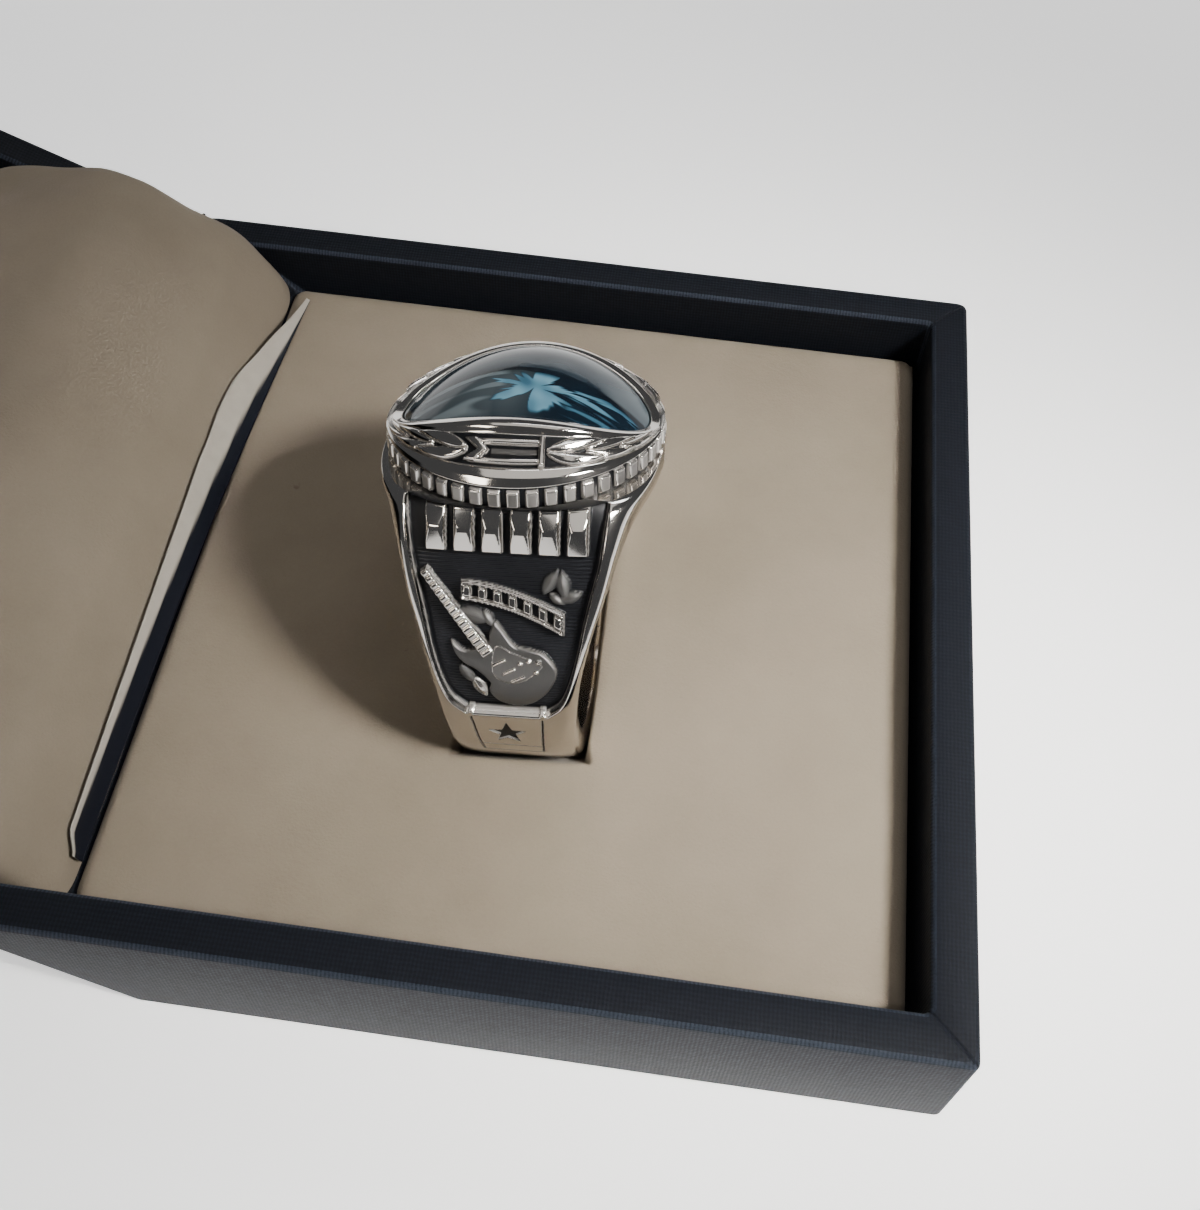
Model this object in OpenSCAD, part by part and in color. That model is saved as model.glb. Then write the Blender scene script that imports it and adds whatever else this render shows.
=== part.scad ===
// A cast class ring with an oval blue stone, standing in the slot of its open presentation box.
// Millimetres, +Z up. The origin is the middle of the flat underside of the box's base.
// The ring has a frame of its own: x along the finger, y across it, z towards the stone,
// with the middle of the finger hole as its origin.

/* [Ring: shank] */
// Radius of the finger hole
finger_r = 9.6; // [8.4:0.1:10.2]
// Thickness of the shank at the bottom
shank_t = 2.14; // [1.8:0.02:2.6]
// Width of the shank at the bottom
shank_w = 8.4; // [7:0.1:9.2]
// Thickness that is left at the rounded edges of the shank
edge_t = 0.7; // [0.5:0.05:1]
// Depth of the sunk panels on the shoulders
panel_depth = 0.774; // [0.5:0.001:1]

/* [Ring: head] */
// Length of the head along the finger
head_len = 17.7; // [16.6:0.1:18.6]
// Width of the head across the finger
head_wid = 18.4; // [17.6:0.1:19]
// Height of the lower edge of the milled border above the middle of the finger hole
border_z = 10.871; // [10.7:0.001:11.4]
// Rise of the milled border towards the two ends of the head
border_rise = 0.5; // [0.2:0.05:0.8]
// Height of the milled border
border_h = 1.291; // [1:0.001:1.5]
// How far the milled blocks stand out
border_out = 0.312; // [0.2:0.001:0.4]
// Number of milled blocks
border_blocks = 48; // [36:2:56]
// Height of the lip round the stone above the middle of the finger hole
lip_z = 15.1; // [14.6:0.1:15.6]
// Width of the lip
lip_w = 0.5; // [0.4:0.05:0.6]
// Fall of the lip from its middle towards the two ends of the head
lip_arch = 2.5; // [2:0.05:2.7]
// How far the laurel leaves stand out from the sloping band
leaf_h = 0.355; // [0.25:0.001:0.45]
// Number of pairs of leaves in each spray
leaf_pairs = 5; // [4:1:6]

/* [Stone] */
// Length of the stone along the finger
stone_len = 15.7; // [14.5:0.1:15.9]
// Width of the stone across the finger
stone_wid = 10.8; // [10:0.1:11.2]
// Height of the arched top above the lip
stone_dome = 0.9; // [0.6:0.05:1.2]
// Height of the stone's upright edge
stone_edge = 0.5; // [0.4:0.05:0.7]
// Depth of the facetted underside below the edge
stone_deep = 1.9; // [1.5:0.05:2]
// Number of facets that run out from the middle of the underside
stone_facets = 24; // [16:4:32]

/* [Ring in the box] */
// Place of the ring to the right of the pad's middle
ring_x = -0.7; // [-3:0.1:3]
// Place of the ring behind the pad's middle
ring_y = -3.6; // [-6:0.1:2]
// Depth of the ring's lowest point below the pad's top
ring_sink = 6.2; // [5.6:0.1:6.2]
// Angle by which the ring leans back in its slot
ring_lean = 22.3; // [10:0.1:26]
// Angle by which the ring leans to one side in its slot
ring_roll = -4.8; // [-6:0.1:6]

/* [Box base] */
// Width of the pad, from the hinge side to the open side
pad_w = 53; // [50:0.5:58]
// Depth of the pad, from front to back
pad_d = 56.3; // [52:0.5:60]
// Height of the pad's top above the table
pad_top = 7.6; // [7.6:0.1:9]
// Height of the base's rim above the table
rim_h = 10.7; // [10.2:0.1:12]
// Thickness of the covered walls
wall_t = 2.95; // [2.4:0.05:3.4]
// Thickness of the slanted hinge walls, of the lid's top and of its lining board
slant_t = 2; // [1.6:0.1:2.4]
// Thickness of the base's floor
floor_t = 1.1; // [0.9:0.05:1.1]
// Angle of the slanted hinge walls above level
slant = 41; // [39:0.5:44]
// Distance from the pad's left edge to the hinge line
hinge_out = 8.35; // [8:0.05:9]
// Radius of the cloth roll along the hinge line
hinge_r = 0.9; // [0.7:0.05:1]

/* [Lid] */
// Depth of the lid, from its rim to the outside of its top
lid_depth = 24.6; // [24:0.1:26]
// Thickness of the lining where it bulges over the slanted wall
lining_t = 6.5; // [5:0.1:6.8]
// Thickness of the flat lining under the lid's top
lining_flat = 1.2; // [0.8:0.1:1.4]

/* [Gaps] */
// Gap between the pad and the walls round it
pad_gap = 0.65; // [0.4:0.05:0.9]
// Gap between the ring and the sides of its slot
slot_gap = 0.3; // [0.2:0.05:0.5]
// Gap between the rims of the closed lid and the base
rim_gap = 0.3; // [0.2:0.05:0.5]
// Gap between the stone and the metal round it
stone_gap = 0.08; // [0.05:0.01:0.12]
// Gap between the linings and the cloth-covered board
lining_gap = 0.1; // [0.05:0.05:0.2]

/* [Hidden] */
silver = [0.74, 0.74, 0.75];
blue = [0.16, 0.33, 0.46];
navy = [0.07, 0.09, 0.14];
cream = [0.84, 0.80, 0.74];

// Sizes of the ring that follow from the driving ones.
shank_r = finger_r + shank_t;
head_a = head_len / 2;
head_b = head_wid / 2;
stone_a = stone_len / 2;
stone_b = stone_wid / 2;
// The front of a shoulder is straight from the border down to where it meets the round shank.
border_reach = norm([head_b, border_z]);
shoulder_tilt = atan2(border_z, head_b) - acos(shank_r / border_reach);
straight_len = sqrt(border_reach * border_reach - shank_r * shank_r);
round_len = shank_r * (shoulder_tilt + 90) * PI / 180;
path_len = straight_len + round_len;

// Sections of the band. way: share of the path from the border down to the bottom of the shank.
// wide: share of the way from the shank's half width to the head's. edge: thickness at the rounded
// edges, from the shank's edge (0) to the metal under the border (1). square: exponent of the crown.
band_rows = [
    // way, wide, edge, square
    [0.000, 1.00, 1.00, 2.6],
    [0.020, 0.80, 1.90, 3.0],
    [0.050, 0.66, 2.10, 3.6],
    [0.100, 0.54, 1.90, 4.5],
    [0.187, 0.39, 1.40, 5.0],
    [0.286, 0.22, 0.90, 5.0],
    [0.432, 0.06, 0.30, 5.0],
    [0.580, 0.00, 0.00, 5.0],
    [1.000, 0.00, 0.00, 5.0]
];
edge_scale = border_z - finger_r - edge_t;
// Half width of a sunk panel. down: share of the panel's length. wide: share of its widest half width.
panel_half = 6.08;
panel_len = 13.81;
panel_rows = [
    // down, wide
    [0.00, 1.01],
    [0.11, 0.98],
    [0.25, 0.94],
    [0.38, 0.87],
    [0.50, 0.81],
    [0.65, 0.75],
    [0.78, 0.685],
    [0.86, 0.635],
    [0.94, 0.56],
    [1.00, 0.42]
];

function mix(a, b, t) = a + (b - a) * t;
function clamp01(t) = max(0, min(1, t));
// Value of one column of a table whose first column rises.
function column(rows, key, col, i = 1) =
    i >= len(rows) - 1 || rows[i][0] >= key
        ? mix(rows[i - 1][col], rows[i][col], clamp01((key - rows[i - 1][0]) / (rows[i][0] - rows[i - 1][0])))
        : column(rows, key, col, i + 1);
function power(base, exponent) = pow(max(base, 0), exponent);

// Middle of the front of the band, v millimetres down from the border: [y, z].
function path_angle(v) = shoulder_tilt - (v - straight_len) / shank_r * 180 / PI;
function round_point(angle) = [-shank_r * cos(angle), shank_r * sin(angle)];
function path_point(v) =
    v < straight_len
        ? mix([-head_b, border_z], round_point(shoulder_tilt), v / straight_len)
        : round_point(path_angle(v));
// Height of the inward direction above level, which turns from the shank's radius to the border's plane.
function inward_rise(v) =
    v < straight_len ? mix(atan2(border_rise, head_b), -shoulder_tilt, v / straight_len) : -path_angle(v);
function band_half(v) = mix(shank_w / 2, head_a, column(band_rows, v / path_len, 1));
function band_square(v) = column(band_rows, v / path_len, 3);
function edge_radius(v) = finger_r + edge_t + edge_scale * column(band_rows, v / path_len, 2);
// Depth from the middle of the front to the rounded edge, along the inward direction.
edge_flat = 0.3;
function edge_drop(v) =
    let (p = path_point(v), r = edge_radius(v))
        v < straight_len
            ? -p[0] - max(edge_flat, sqrt(max(0, r * r - p[1] * p[1])))
            : shank_r - r;
// Point of the band's outside: x along the finger, v down the path, h out of the surface.
function band_point(x, v, h = 0) =
    let (
        n = band_square(v),
        u = min(1, abs(x) / band_half(v)),
        depth = edge_drop(v) * (1 - power(1 - power(u, n), 1 / n)) - h,
        p = path_point(v),
        a = inward_rise(v)
    )
        [x, p[0] + depth * cos(a), p[1] + depth * sin(a)];

// Point of the head between the border (out = 1) and the lip's outside (out = 0), at angle t round the oval.
// up is the share of the height from the top of the border to the lip.
lip_a = stone_a + stone_gap + lip_w;
lip_b = stone_b + stone_gap + lip_w;
function head_point(t, out, up) =
    let (
        c = cos(t),
        z = mix(border_z + border_h + border_rise * c * c, lip_z - lip_arch * c * c, up)
    )
        [mix(lip_a, head_a, out) * c, mix(lip_b, head_b, out) * sin(t), z];

// Closed loft through rings of points that all have the same number of points.
// round joins the last ring to the first, or else fans close both ends.
function loft_faces(rows, cols, round) =
    let (row_last = round ? rows - 1 : rows - 2)
        [
            for (i = [0:row_last], j = [0:cols - 1])
                let (a = i * cols + j, b = i * cols + (j + 1) % cols, k = ((i + 1) % rows) * cols)
                    for (f = [[a, k + j, b], [b, k + j, k + (j + 1) % cols]]) f
        ];
module loft(rings, round = false) {
    rows = len(rings);
    cols = len(rings[0]);
    flat = [for (ring = rings) for (p = ring) p];
    if (round) {
        polyhedron(flat, loft_faces(rows, cols, true));
    } else {
        first = [for (k = [0:2]) [for (p = rings[0]) p[k]] * [for (p = rings[0]) 1 / cols]];
        last = [for (k = [0:2]) [for (p = rings[rows - 1]) p[k]] * [for (p = rings[0]) 1 / cols]];
        start = rows * cols;
        polyhedron(
            concat(flat, [first, last]),
            concat(
                loft_faces(rows, cols, false),
                [for (j = [0:cols - 1]) [start, j, (j + 1) % cols]],
                [for (j = [0:cols - 1]) [start + 1, start - cols + (j + 1) % cols, start - cols + j]]
            )
        );
    }
}

// The band: shank, shoulders and the metal under the head, before the finger hole is bored.
band_steps = 20;
crown_steps = 13;
bore_spare = 0.4;
function step_v(i) = path_len * pow(i / band_steps, 1.35);
function band_ring(v, back) =
    let (
        w = band_half(v),
        n = band_square(v),
        e = band_point(w, v),
        a = atan2(e[2], -e[1]),
        r = finger_r - bore_spare,
        s = back ? -1 : 1,
        y = min(-edge_flat, -r * cos(a)),
        crown = [
            for (j = [0:crown_steps])
                let (t = 90 - 180 * j / crown_steps)
                    band_point(w * sign(t) * power(abs(sin(t)), 2 / n), v)
        ],
        low = [[-w, y, r * sin(a)], [w, y, r * sin(a)]]
    )
        [for (p = concat(crown, low)) [p[0], s * p[1], p[2]]];
module band() {
    front = [for (i = [0:band_steps]) band_ring(step_v(i), false)];
    back = [for (i = [band_steps - 1:-1:0]) band_ring(step_v(i), true)];
    loft(concat(front, back), round = true);
}

// The head: border wall, ledge, sloping band, lip and the seat of the stone.
head_cols = 56;
ledge_out = 0.72;
ledge_up = 0.34;
slope_out = 0.16;
slope_up = 0.87;
// out and up of each ring of the head, as shares, from the top of the border to the lip's outer edge.
head_rows = [
    // out, up
    [0.95, 0.04],
    [0.89, 0.21],
    [0.78, 0.33],
    [ledge_out, ledge_up],
    [0.69, 0.29],
    [slope_out, 0.80],
    [0.13, 0.93],
    [0.05, 1.00]
];
seat_up = stone_edge + stone_gap;
seat_wall = 0.7;
function oval(a, b, z, rise) =
    [for (j = [0:head_cols - 1]) let (t = 360 * j / head_cols, c = cos(t)) [a * c, b * sin(t), z + rise * c * c]];
module head() {
    sunk = border_out + 0.12;
    loft([
        oval(head_a - sunk, head_b - sunk, border_z - 0.5, border_rise),
        oval(head_a - border_out, head_b - border_out, border_z - 0.1, border_rise),
        oval(head_a - border_out, head_b - border_out, border_z + border_h, border_rise),
        for (row = head_rows) [for (j = [0:head_cols - 1]) head_point(360 * j / head_cols, row[0], row[1])],
        oval(stone_a + stone_gap, stone_b + stone_gap, lip_z, -lip_arch),
        oval(stone_a + stone_gap, stone_b + stone_gap, lip_z - seat_up, -lip_arch),
        oval(stone_a - seat_wall, stone_b - seat_wall, lip_z - seat_up - seat_wall, -lip_arch),
        oval(stone_a * 0.45, stone_b * 0.45, lip_z - seat_up - stone_deep - stone_gap, -lip_arch * 0.2)
    ]);
}

// The milled border: one block with a narrower face for each step round the oval.
block_share = 0.74;
block_step = 0.062;
module border() {
    pitch = PI * (head_a + head_b) / border_blocks;
    foot = pitch * block_share / 2;
    face = foot * 0.8;
    for (i = [0:border_blocks - 1]) {
        t = 360 * (i + 0.5) / border_blocks;
        a = head_a - border_out;
        b = head_b - border_out;
        translate([a * cos(t), b * sin(t), border_z + border_rise * cos(t) * cos(t)])
            rotate([0, 0, atan2(a * sin(t), b * cos(t))])
                hull() {
                    translate([-border_out, -foot, 0]) cube([border_out * 0.6, 2 * foot, border_h - block_step]);
                    translate([0, -face, block_step]) cube([border_out, 2 * face, border_h - 3 * block_step]);
                }
    }
}

// A raised or sunk figure on a shoulder: an outline of [x, v] points that its middle sees whole,
// from h0 to h1 out of the band's surface. lift raises the middle into a point.
module figure(outline, h0, h1, lift = 0) {
    n = len(outline);
    mid = [for (k = [0:1]) [for (p = outline) p[k]] * [for (p = outline) 1 / n]];
    polyhedron(
        concat(
            [for (p = outline) band_point(p[0], p[1], h0)],
            [for (p = outline) band_point(p[0], p[1], h1)],
            [band_point(mid[0], mid[1], h0), band_point(mid[0], mid[1], h1 + lift)]
        ),
        [
            for (i = [0:n - 1])
                let (j = (i + 1) % n)
                    for (f = [[i, j, n + i], [j, n + j, n + i], [j, i, 2 * n], [n + i, n + j, 2 * n + 1]]) f
        ]
    );
}
// Outlines run clockwise as seen from outside the shoulder: right along x, then down along v.
function disc_points(x, v, r, n = 12) = [for (i = [0:n - 1]) [x + r * cos(360 * i / n), v + r * sin(360 * i / n)]];
function star_points(x, v, r) =
    [for (i = [0:9]) let (q = i % 2 == 0 ? r : r * 0.42, t = -90 + 36 * i) [x + q * cos(t), v + q * sin(t)]];
// A bar between two points, w0 wide at its start and w1 at its end.
function bar_points(p, q, w0, w1) =
    let (d = (q - p) / norm(q - p), s = [-d[1], d[0]])
        [p - s * w0 / 2, q - s * w1 / 2, q + s * w1 / 2, p + s * w0 / 2];

floor_h = -panel_depth - 0.15;
top_h = -0.109;

// The sunk panel, cut out of a shoulder.
panel_steps = 14;
module panel_cut() {
    loft([
        for (i = [0:panel_steps])
            let (v = 0.02 + panel_len * i / panel_steps, w = panel_half * column(panel_rows, i / panel_steps, 1))
                [
                    for (k = [0:5]) band_point(w * (1 - k / 2.5), v, 1.2),
                    for (k = [5:-1:0]) band_point(w * (1 - k / 2.5) * 0.97, v, -panel_depth)
                ]
    ]);
}

// A row of upright blocks with pointed tops under the border.
studs = 6;
stud_pitch = 1.72;
stud_w = 1.42;
stud_top = 0.35;
stud_foot = 3;
module stud_row() {
    for (i = [0:studs - 1]) {
        x = stud_pitch * (i - (studs - 1) / 2) + 0.1;
        figure(
            [[x - stud_w / 2, stud_top], [x + stud_w / 2, stud_top], [x + stud_w / 2, stud_foot], [x - stud_w / 2, stud_foot]],
            floor_h, top_h - 0.2, lift = 0.35
        );
    }
}

// An arched ribbon with a raised rim, and a row of pointed beads along its middle.
ribbon_from = -2.722;
ribbon_to = 3.757;
ribbon_h = 1.412;
beads = 7;
bead_half = 0.3;
function ribbon_mid(x) =
    let (s = (x - ribbon_from) / (ribbon_to - ribbon_from)) 5.25 + 0.35 * s + 1.65 * s * s;
rim_w = 0.2;
module ribbon() {
    half = ribbon_h / 2;
    low = top_h - 0.4;
    high = top_h - 0.12;
    loft([
        for (i = [0:2 * beads])
            let (
                x = mix(ribbon_from, ribbon_to, i / (2 * beads)),
                m = ribbon_mid(x),
                bead = i % 2 == 1 ? top_h - 0.14 : low - 0.03
            )
                [
                    for (p = [
                        [-half, floor_h], [-half, high], [rim_w - half, high], [rim_w - half, low],
                        [-bead_half, low], [0, bead], [bead_half, low],
                        [half - rim_w, low], [half - rim_w, high], [half, high], [half, floor_h]
                    ])
                        band_point(x, m + p[0], p[1])
                ]
    ]);
}

// A plain electric guitar: a body with two horns, a fretted neck, three pickups and three knobs.
guitar_mid = [0.234, 10.392];
guitar_rows = [
    // turn: direction from the middle, reach: distance of the outline
    [-92, 2.4],
    [-74, 1.9],
    [-48, 2.2],
    [-27, 2.7],
    [0, 3.1],
    [27, 3.05],
    [54, 3.1],
    [77, 3.1],
    [103, 2.75],
    [136, 1.7],
    [172, 2.0],
    [186, 2.85],
    [196, 3.5],
    [208, 4.1],
    [210, 3.0],
    [222, 2.3],
    [243, 2.2],
    [250, 2.9],
    [256, 3.45]
];
neck_end = [-1.0, 9.2];
neck_tip = [-5.009, 4.067];
neck_w = [0.9, 0.55];
frets = 11;
module guitar() {
    body_h = top_h - 0.2;
    side = [neck_end[1] - neck_tip[1], neck_tip[0] - neck_end[0]] / norm(neck_tip - neck_end);
    figure([for (row = guitar_rows) guitar_mid + row[1] * [cos(row[0]), sin(row[0])]], floor_h, body_h);
    loft([
        for (i = [0:2 * frets + 1])
            let (
                s = i / (2 * frets + 1),
                p = mix(neck_end, neck_tip, s),
                half = mix(neck_w[0], neck_w[1], s) / 2,
                high = i % 2 == 0 ? top_h - 0.02 : top_h - 0.14
            )
                [
                    for (q = [[-half, floor_h], [-half, high], [half, high], [half, floor_h]])
                        band_point(p[0] + side[0] * q[0], p[1] + side[1] * q[0], q[1])
                ]
    ]);
    for (p = [[-0.3, 9.8], [0.3, 10.4], [0.8, 10.85]])
        figure(bar_points(p + [-0.42, 0.26], p + [0.42, -0.26], 0.28, 0.28), body_h - 0.1, body_h + 0.16);
    for (p = [[1.0, 9.8], [1.55, 9.6], [2.15, 9.6]])
        figure(disc_points(p[0], p[1], 0.17, 6), body_h - 0.1, body_h + 0.12, lift = 0.06);
}

// Small leaves behind the ribbon and the guitar, with pointed ends.
// x, v: the leaf's middle. long: its length. turn: its direction, 0 along x.
panel_leaves = [
    // x, v, long, turn
    [2.75, 4.75, 1.7, -60],
    [3.55, 4.85, 1.7, -100],
    [3.9, 5.4, 1.6, -20],
    [-1.9, 6.85, 2.3, 20],
    [-2.35, 10.9, 1.8, 55],
    [-1.55, 11.9, 1.9, 65]
];
function leaf_points(x, v, long, turn) =
    let (d = [cos(turn), sin(turn)] * long / 2, s = [-sin(turn), cos(turn)] * long * 0.24)
        [[x, v] - d, [x, v] - s, [x, v] + d, [x, v] + s];
module small_leaves() {
    for (p = panel_leaves) figure(leaf_points(p[0], p[1], p[2], p[3]), floor_h, top_h - 0.5, lift = 0.22);
}

// The plain figure on the hidden shoulder: a star in a rounded shield.
module shield_star() {
    figure(disc_points(0, 8.2, 3.1, 24), floor_h, top_h - 0.45);
    figure(star_points(0, 8.2, 2.6), floor_h, top_h - 0.2, lift = 0.3);
}

// The plaque at the foot of a shoulder: a raised lip, and lines and a star that are sunk.
plaque_top = 13.85;
plaque_foot = 18.9;
plaque_half = 2.219;
line_w = 0.16;
line_h = -0.18;
line_short = 0.55;
star_v = 15.904;
star_r = 1.25;
module plaque_lip() {
    figure(bar_points([-plaque_half, plaque_top], [plaque_half, plaque_top], 0.4, 0.4), floor_h, 0.1);
}
module plaque_cut() {
    figure(star_points(0, star_v, star_r), line_h, 0.4);
    for (side = [-1, 1])
        figure(bar_points([side * plaque_half, plaque_top + 0.1], [side * (plaque_half - 0.3), plaque_foot], line_w, line_w),
            line_h, 0.4);
    for (v = [17.6, plaque_foot])
        figure(bar_points([line_short - plaque_half, v], [plaque_half - line_short, v], line_w, line_w), line_h, 0.4);
}

// Raised work on the sloping band of the head, from the ledge (q = 0) to the lip (q = 1).
function slope_point(t, q, h) =
    let (
        p = head_point(t, mix(ledge_out - 0.03, slope_out, q), mix(0.29, 0.80, q)),
        low = head_point(t, ledge_out - 0.03, 0.29),
        high = head_point(t, slope_out, 0.80),
        ahead = head_point(t + 1, mix(ledge_out - 0.03, slope_out, q), mix(0.29, 0.80, q)),
        n = cross(ahead - p, high - low)
    )
        p + n / norm(n) * h;
module slope_figure(outline, h, lift = 0) {
    n = len(outline);
    mid = [for (k = [0:1]) [for (p = outline) p[k]] * [for (p = outline) 1 / n]];
    polyhedron(
        concat(
            [for (p = outline) slope_point(p[0], p[1], -0.15)],
            [for (p = outline) slope_point(p[0], p[1], h)],
            [slope_point(mid[0], mid[1], -0.15), slope_point(mid[0], mid[1], h + lift)]
        ),
        [
            for (i = [0:n - 1])
                let (j = (i + 1) % n)
                    for (f = [[i, n + i, j], [j, n + i, n + j], [j, 2 * n, i], [n + i, 2 * n + 1, n + j]]) f
        ]
    );
}
// A spray of leaves from the tie at angle t0 towards the end of the head at angle t1.
tie_half = 17.32;
leaf_long = 15.23;
spray_end = 26;
module spray(t0, t1) {
    dir = sign(t1 - t0);
    for (i = [0:leaf_pairs - 1], up = [-1, 1]) {
        t = mix(t0, t1, i / leaf_pairs);
        q = 0.5 + up * 0.24;
        slope_figure(
            dir > 0
                ? [[t, 0.5 + up * 0.06], [t + leaf_long * 0.5, q - 0.2], [t + leaf_long, q + up * 0.1], [t + leaf_long * 0.5, q + 0.2]]
                : [[t, 0.5 + up * 0.06], [t - leaf_long * 0.5, q + 0.2], [t - leaf_long, q + up * 0.1], [t - leaf_long * 0.5, q - 0.2]],
            leaf_h * 0.35, lift = leaf_h * 0.65
        );
    }
}
// The tie in the middle of a side: two level bars, a post and a notched tail.
tie_steps = 4;
module tie_bar(t0, t1, q0, q1) {
    loft([
        for (i = [0:tie_steps])
            let (t = mix(t0, t1, i / tie_steps))
                [for (p = [[q1, -0.15], [q1, leaf_h], [q0, leaf_h], [q0, -0.15]]) slope_point(t, p[0], p[1])]
    ]);
}
module tie(t) {
    for (q = [0.2, 0.74]) tie_bar(t - 13, t + 13.2, q - 0.09, q + 0.09);
    slope_figure([[t + 12.6, 0.03], [t + 15.2, 0.03], [t + 15.2, 0.95], [t + 12.6, 0.95]], leaf_h * 1.2);
    slope_figure([[t - 17, 0.14], [t - 12, 0.14], [t - 7, 0.5], [t - 12, 0.84], [t - 17, 0.84], [t - 12.5, 0.5]], leaf_h * 0.7);
}

module ring_place() {
    translate([ring_x, ring_y, pad_top - ring_sink + shank_r])
        rotate([-ring_lean, 0, 0])
            rotate([0, ring_roll, 0])
                children();
}

module ring_casting() {
    color(silver)
        ring_place() {
            difference() {
                union() {
                    band();
                    head();
                }
                for (turn = [0, 180]) rotate([0, 0, turn]) {
                    panel_cut();
                    plaque_cut();
                }
                rotate([0, 90, 0]) cylinder(r = finger_r, h = 2 * head_len, center = true, $fn = 80);
            }
            border();
            for (turn = [0, 180]) rotate([0, 0, turn]) {
                stud_row();
                plaque_lip();
                tie(-90);
                spray(-90 + tie_half, -spray_end);
                spray(-90 - tie_half, spray_end - 180);
            }
            ribbon();
            small_leaves();
            guitar();
            rotate([0, 0, 180]) shield_star();
        }
}

// The stone: an upright edge, a smooth arched top with an oval table, and a facetted underside.
stone_cols = 48;
table_share = 0.55;
function stone_oval(share, z, arch) =
    [
        for (j = [0:stone_cols - 1])
            let (t = 360 * j / stone_cols, c = cos(t))
                [stone_a * share * c, stone_b * share * sin(t), lip_z + z - arch * c * c * share * share]
    ];
function dome_z(share) = stone_dome * (1 - share * share);
module ring_stone() {
    color(blue)
        ring_place()
            loft([
                [
                    for (j = [0:stone_cols - 1])
                        let (t = 360 * j / stone_cols, s = (j % (stone_cols / stone_facets) == 0) ? 0.3 : 0.42)
                            [stone_a * s * cos(t), stone_b * s * sin(t), lip_z - stone_edge - stone_deep * 0.9]
                ],
                stone_oval(0.9, -stone_edge - 0.2, lip_arch),
                stone_oval(1, -stone_edge, lip_arch),
                stone_oval(1, 0, lip_arch),
                for (s = [0.92, 0.82, 0.68, table_share]) stone_oval(s, dome_z(s), lip_arch),
                stone_oval(0.3, dome_z(table_share) + 0.02, lip_arch)
            ]);
}

// Sizes of the box that follow from the driving ones.
inner_r = pad_w / 2 + pad_gap;
outer_r = inner_r + wall_t;
inner_d = pad_d + 2 * pad_gap;
outer_d = inner_d + 2 * wall_t;
hinge_x = -(pad_w / 2 + hinge_out);
// Level thickness of a slanted wall.
slant_level = slant_t / sin(slant);
// Place of the slanted wall's outside at height z above the table.
function slant_x(z) = hinge_x + (rim_h - z) / tan(slant);
// The lid is drawn closed, from its hinge line, and opened until its corner rests on the table.
slant_len = lid_depth / sin(slant);
lid_open = 180 - slant + asin(rim_h / slant_len);

module slab(depth, profile) {
    rotate([90, 0, 0]) linear_extrude(height = depth, center = true) polygon(profile);
}
module along_hinge(r, length) {
    rotate([90, 0, 0]) cylinder(r = r, h = length, center = true, $fn = 48);
}

module box_base() {
    color(navy) {
        difference() {
            union() {
                slab(outer_d, [[slant_x(0), 0], [outer_r, 0], [outer_r, rim_h], [hinge_x, rim_h]]);
                translate([hinge_x, 0, rim_h]) along_hinge(hinge_r, outer_d);
            }
            slab(inner_d, [
                [slant_x(floor_t) + slant_level, floor_t],
                [inner_r, floor_t],
                [inner_r, rim_h + 5],
                [slant_x(rim_h + 5) + slant_level, rim_h + 5]
            ]);
        }
    }
}

// Left edge of the pad: upright at the top, then along the slanted wall.
pad_edge = 0.8;
pad_left = -pad_w / 2;
module pad_block() {
    foot = slant_x(floor_t) + slant_level + 2 * lining_gap;
    knee = rim_h - (pad_left - slant_level - 2 * lining_gap - hinge_x) * tan(slant);
    slab(pad_d, [
        [max(foot, pad_left), floor_t + lining_gap],
        [pad_w / 2, floor_t + lining_gap],
        [pad_w / 2, pad_top - pad_edge],
        [pad_w / 2 - pad_edge, pad_top],
        [pad_left + pad_edge, pad_top],
        [pad_left, pad_top - pad_edge],
        [pad_left, min(pad_top - 1.5 * pad_edge, knee)]
    ]);
}
module ring_pad() {
    color(cream)
        difference() {
            pad_block();
            ring_place()
                rotate([0, 90, 0])
                    cylinder(r = shank_r + slot_gap, h = shank_w + 2 * (slot_gap + slot_flare), center = true, $fn = 96);
        }
}
// The shank widens from the bottom of the slot to its mouth.
slot_flare = 0.45;

// Strip of lining from the pad up to the hinge. It stays below the lining of the closed lid.
lining_len = inner_d - 2 * lining_gap;
strip_rise = 1.2;
module base_lining() {
    x0 = pad_left - lining_gap;
    top = rim_h - 0.3;
    x1 = slant_x(top) + slant_level + 2 * lining_gap;
    z0 = rim_h - (x0 - slant_level - 2 * lining_gap - hinge_x) * tan(slant);
    color(cream)
        slab(lining_len, [
            [x0, z0],
            [x0, pad_top - 0.4],
            [x0 - 1.6, pad_top + strip_rise],
            [mix(x0, x1, 0.7), top - 0.8],
            [x1, top]
        ]);
}

module lid_place() {
    translate([hinge_x, 0, rim_h]) rotate([0, -lid_open, 0]) children();
}
lid_wide = outer_r - hinge_x;
module box_lid() {
    color(navy)
        lid_place()
            difference() {
                slab(outer_d, [
                    [rim_gap / tan(slant), rim_gap],
                    [lid_depth / tan(slant), lid_depth],
                    [lid_wide, lid_depth],
                    [lid_wide, rim_gap]
                ]);
                slab(inner_d, [
                    [slant_level - 5 / tan(slant), -5],
                    [slant_level + (lid_depth - slant_t) / tan(slant), lid_depth - slant_t],
                    [lid_wide - wall_t, lid_depth - slant_t],
                    [lid_wide - wall_t, -5]
                ]);
                along_hinge(hinge_r + rim_gap, 2 * outer_d);
            }
}

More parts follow.
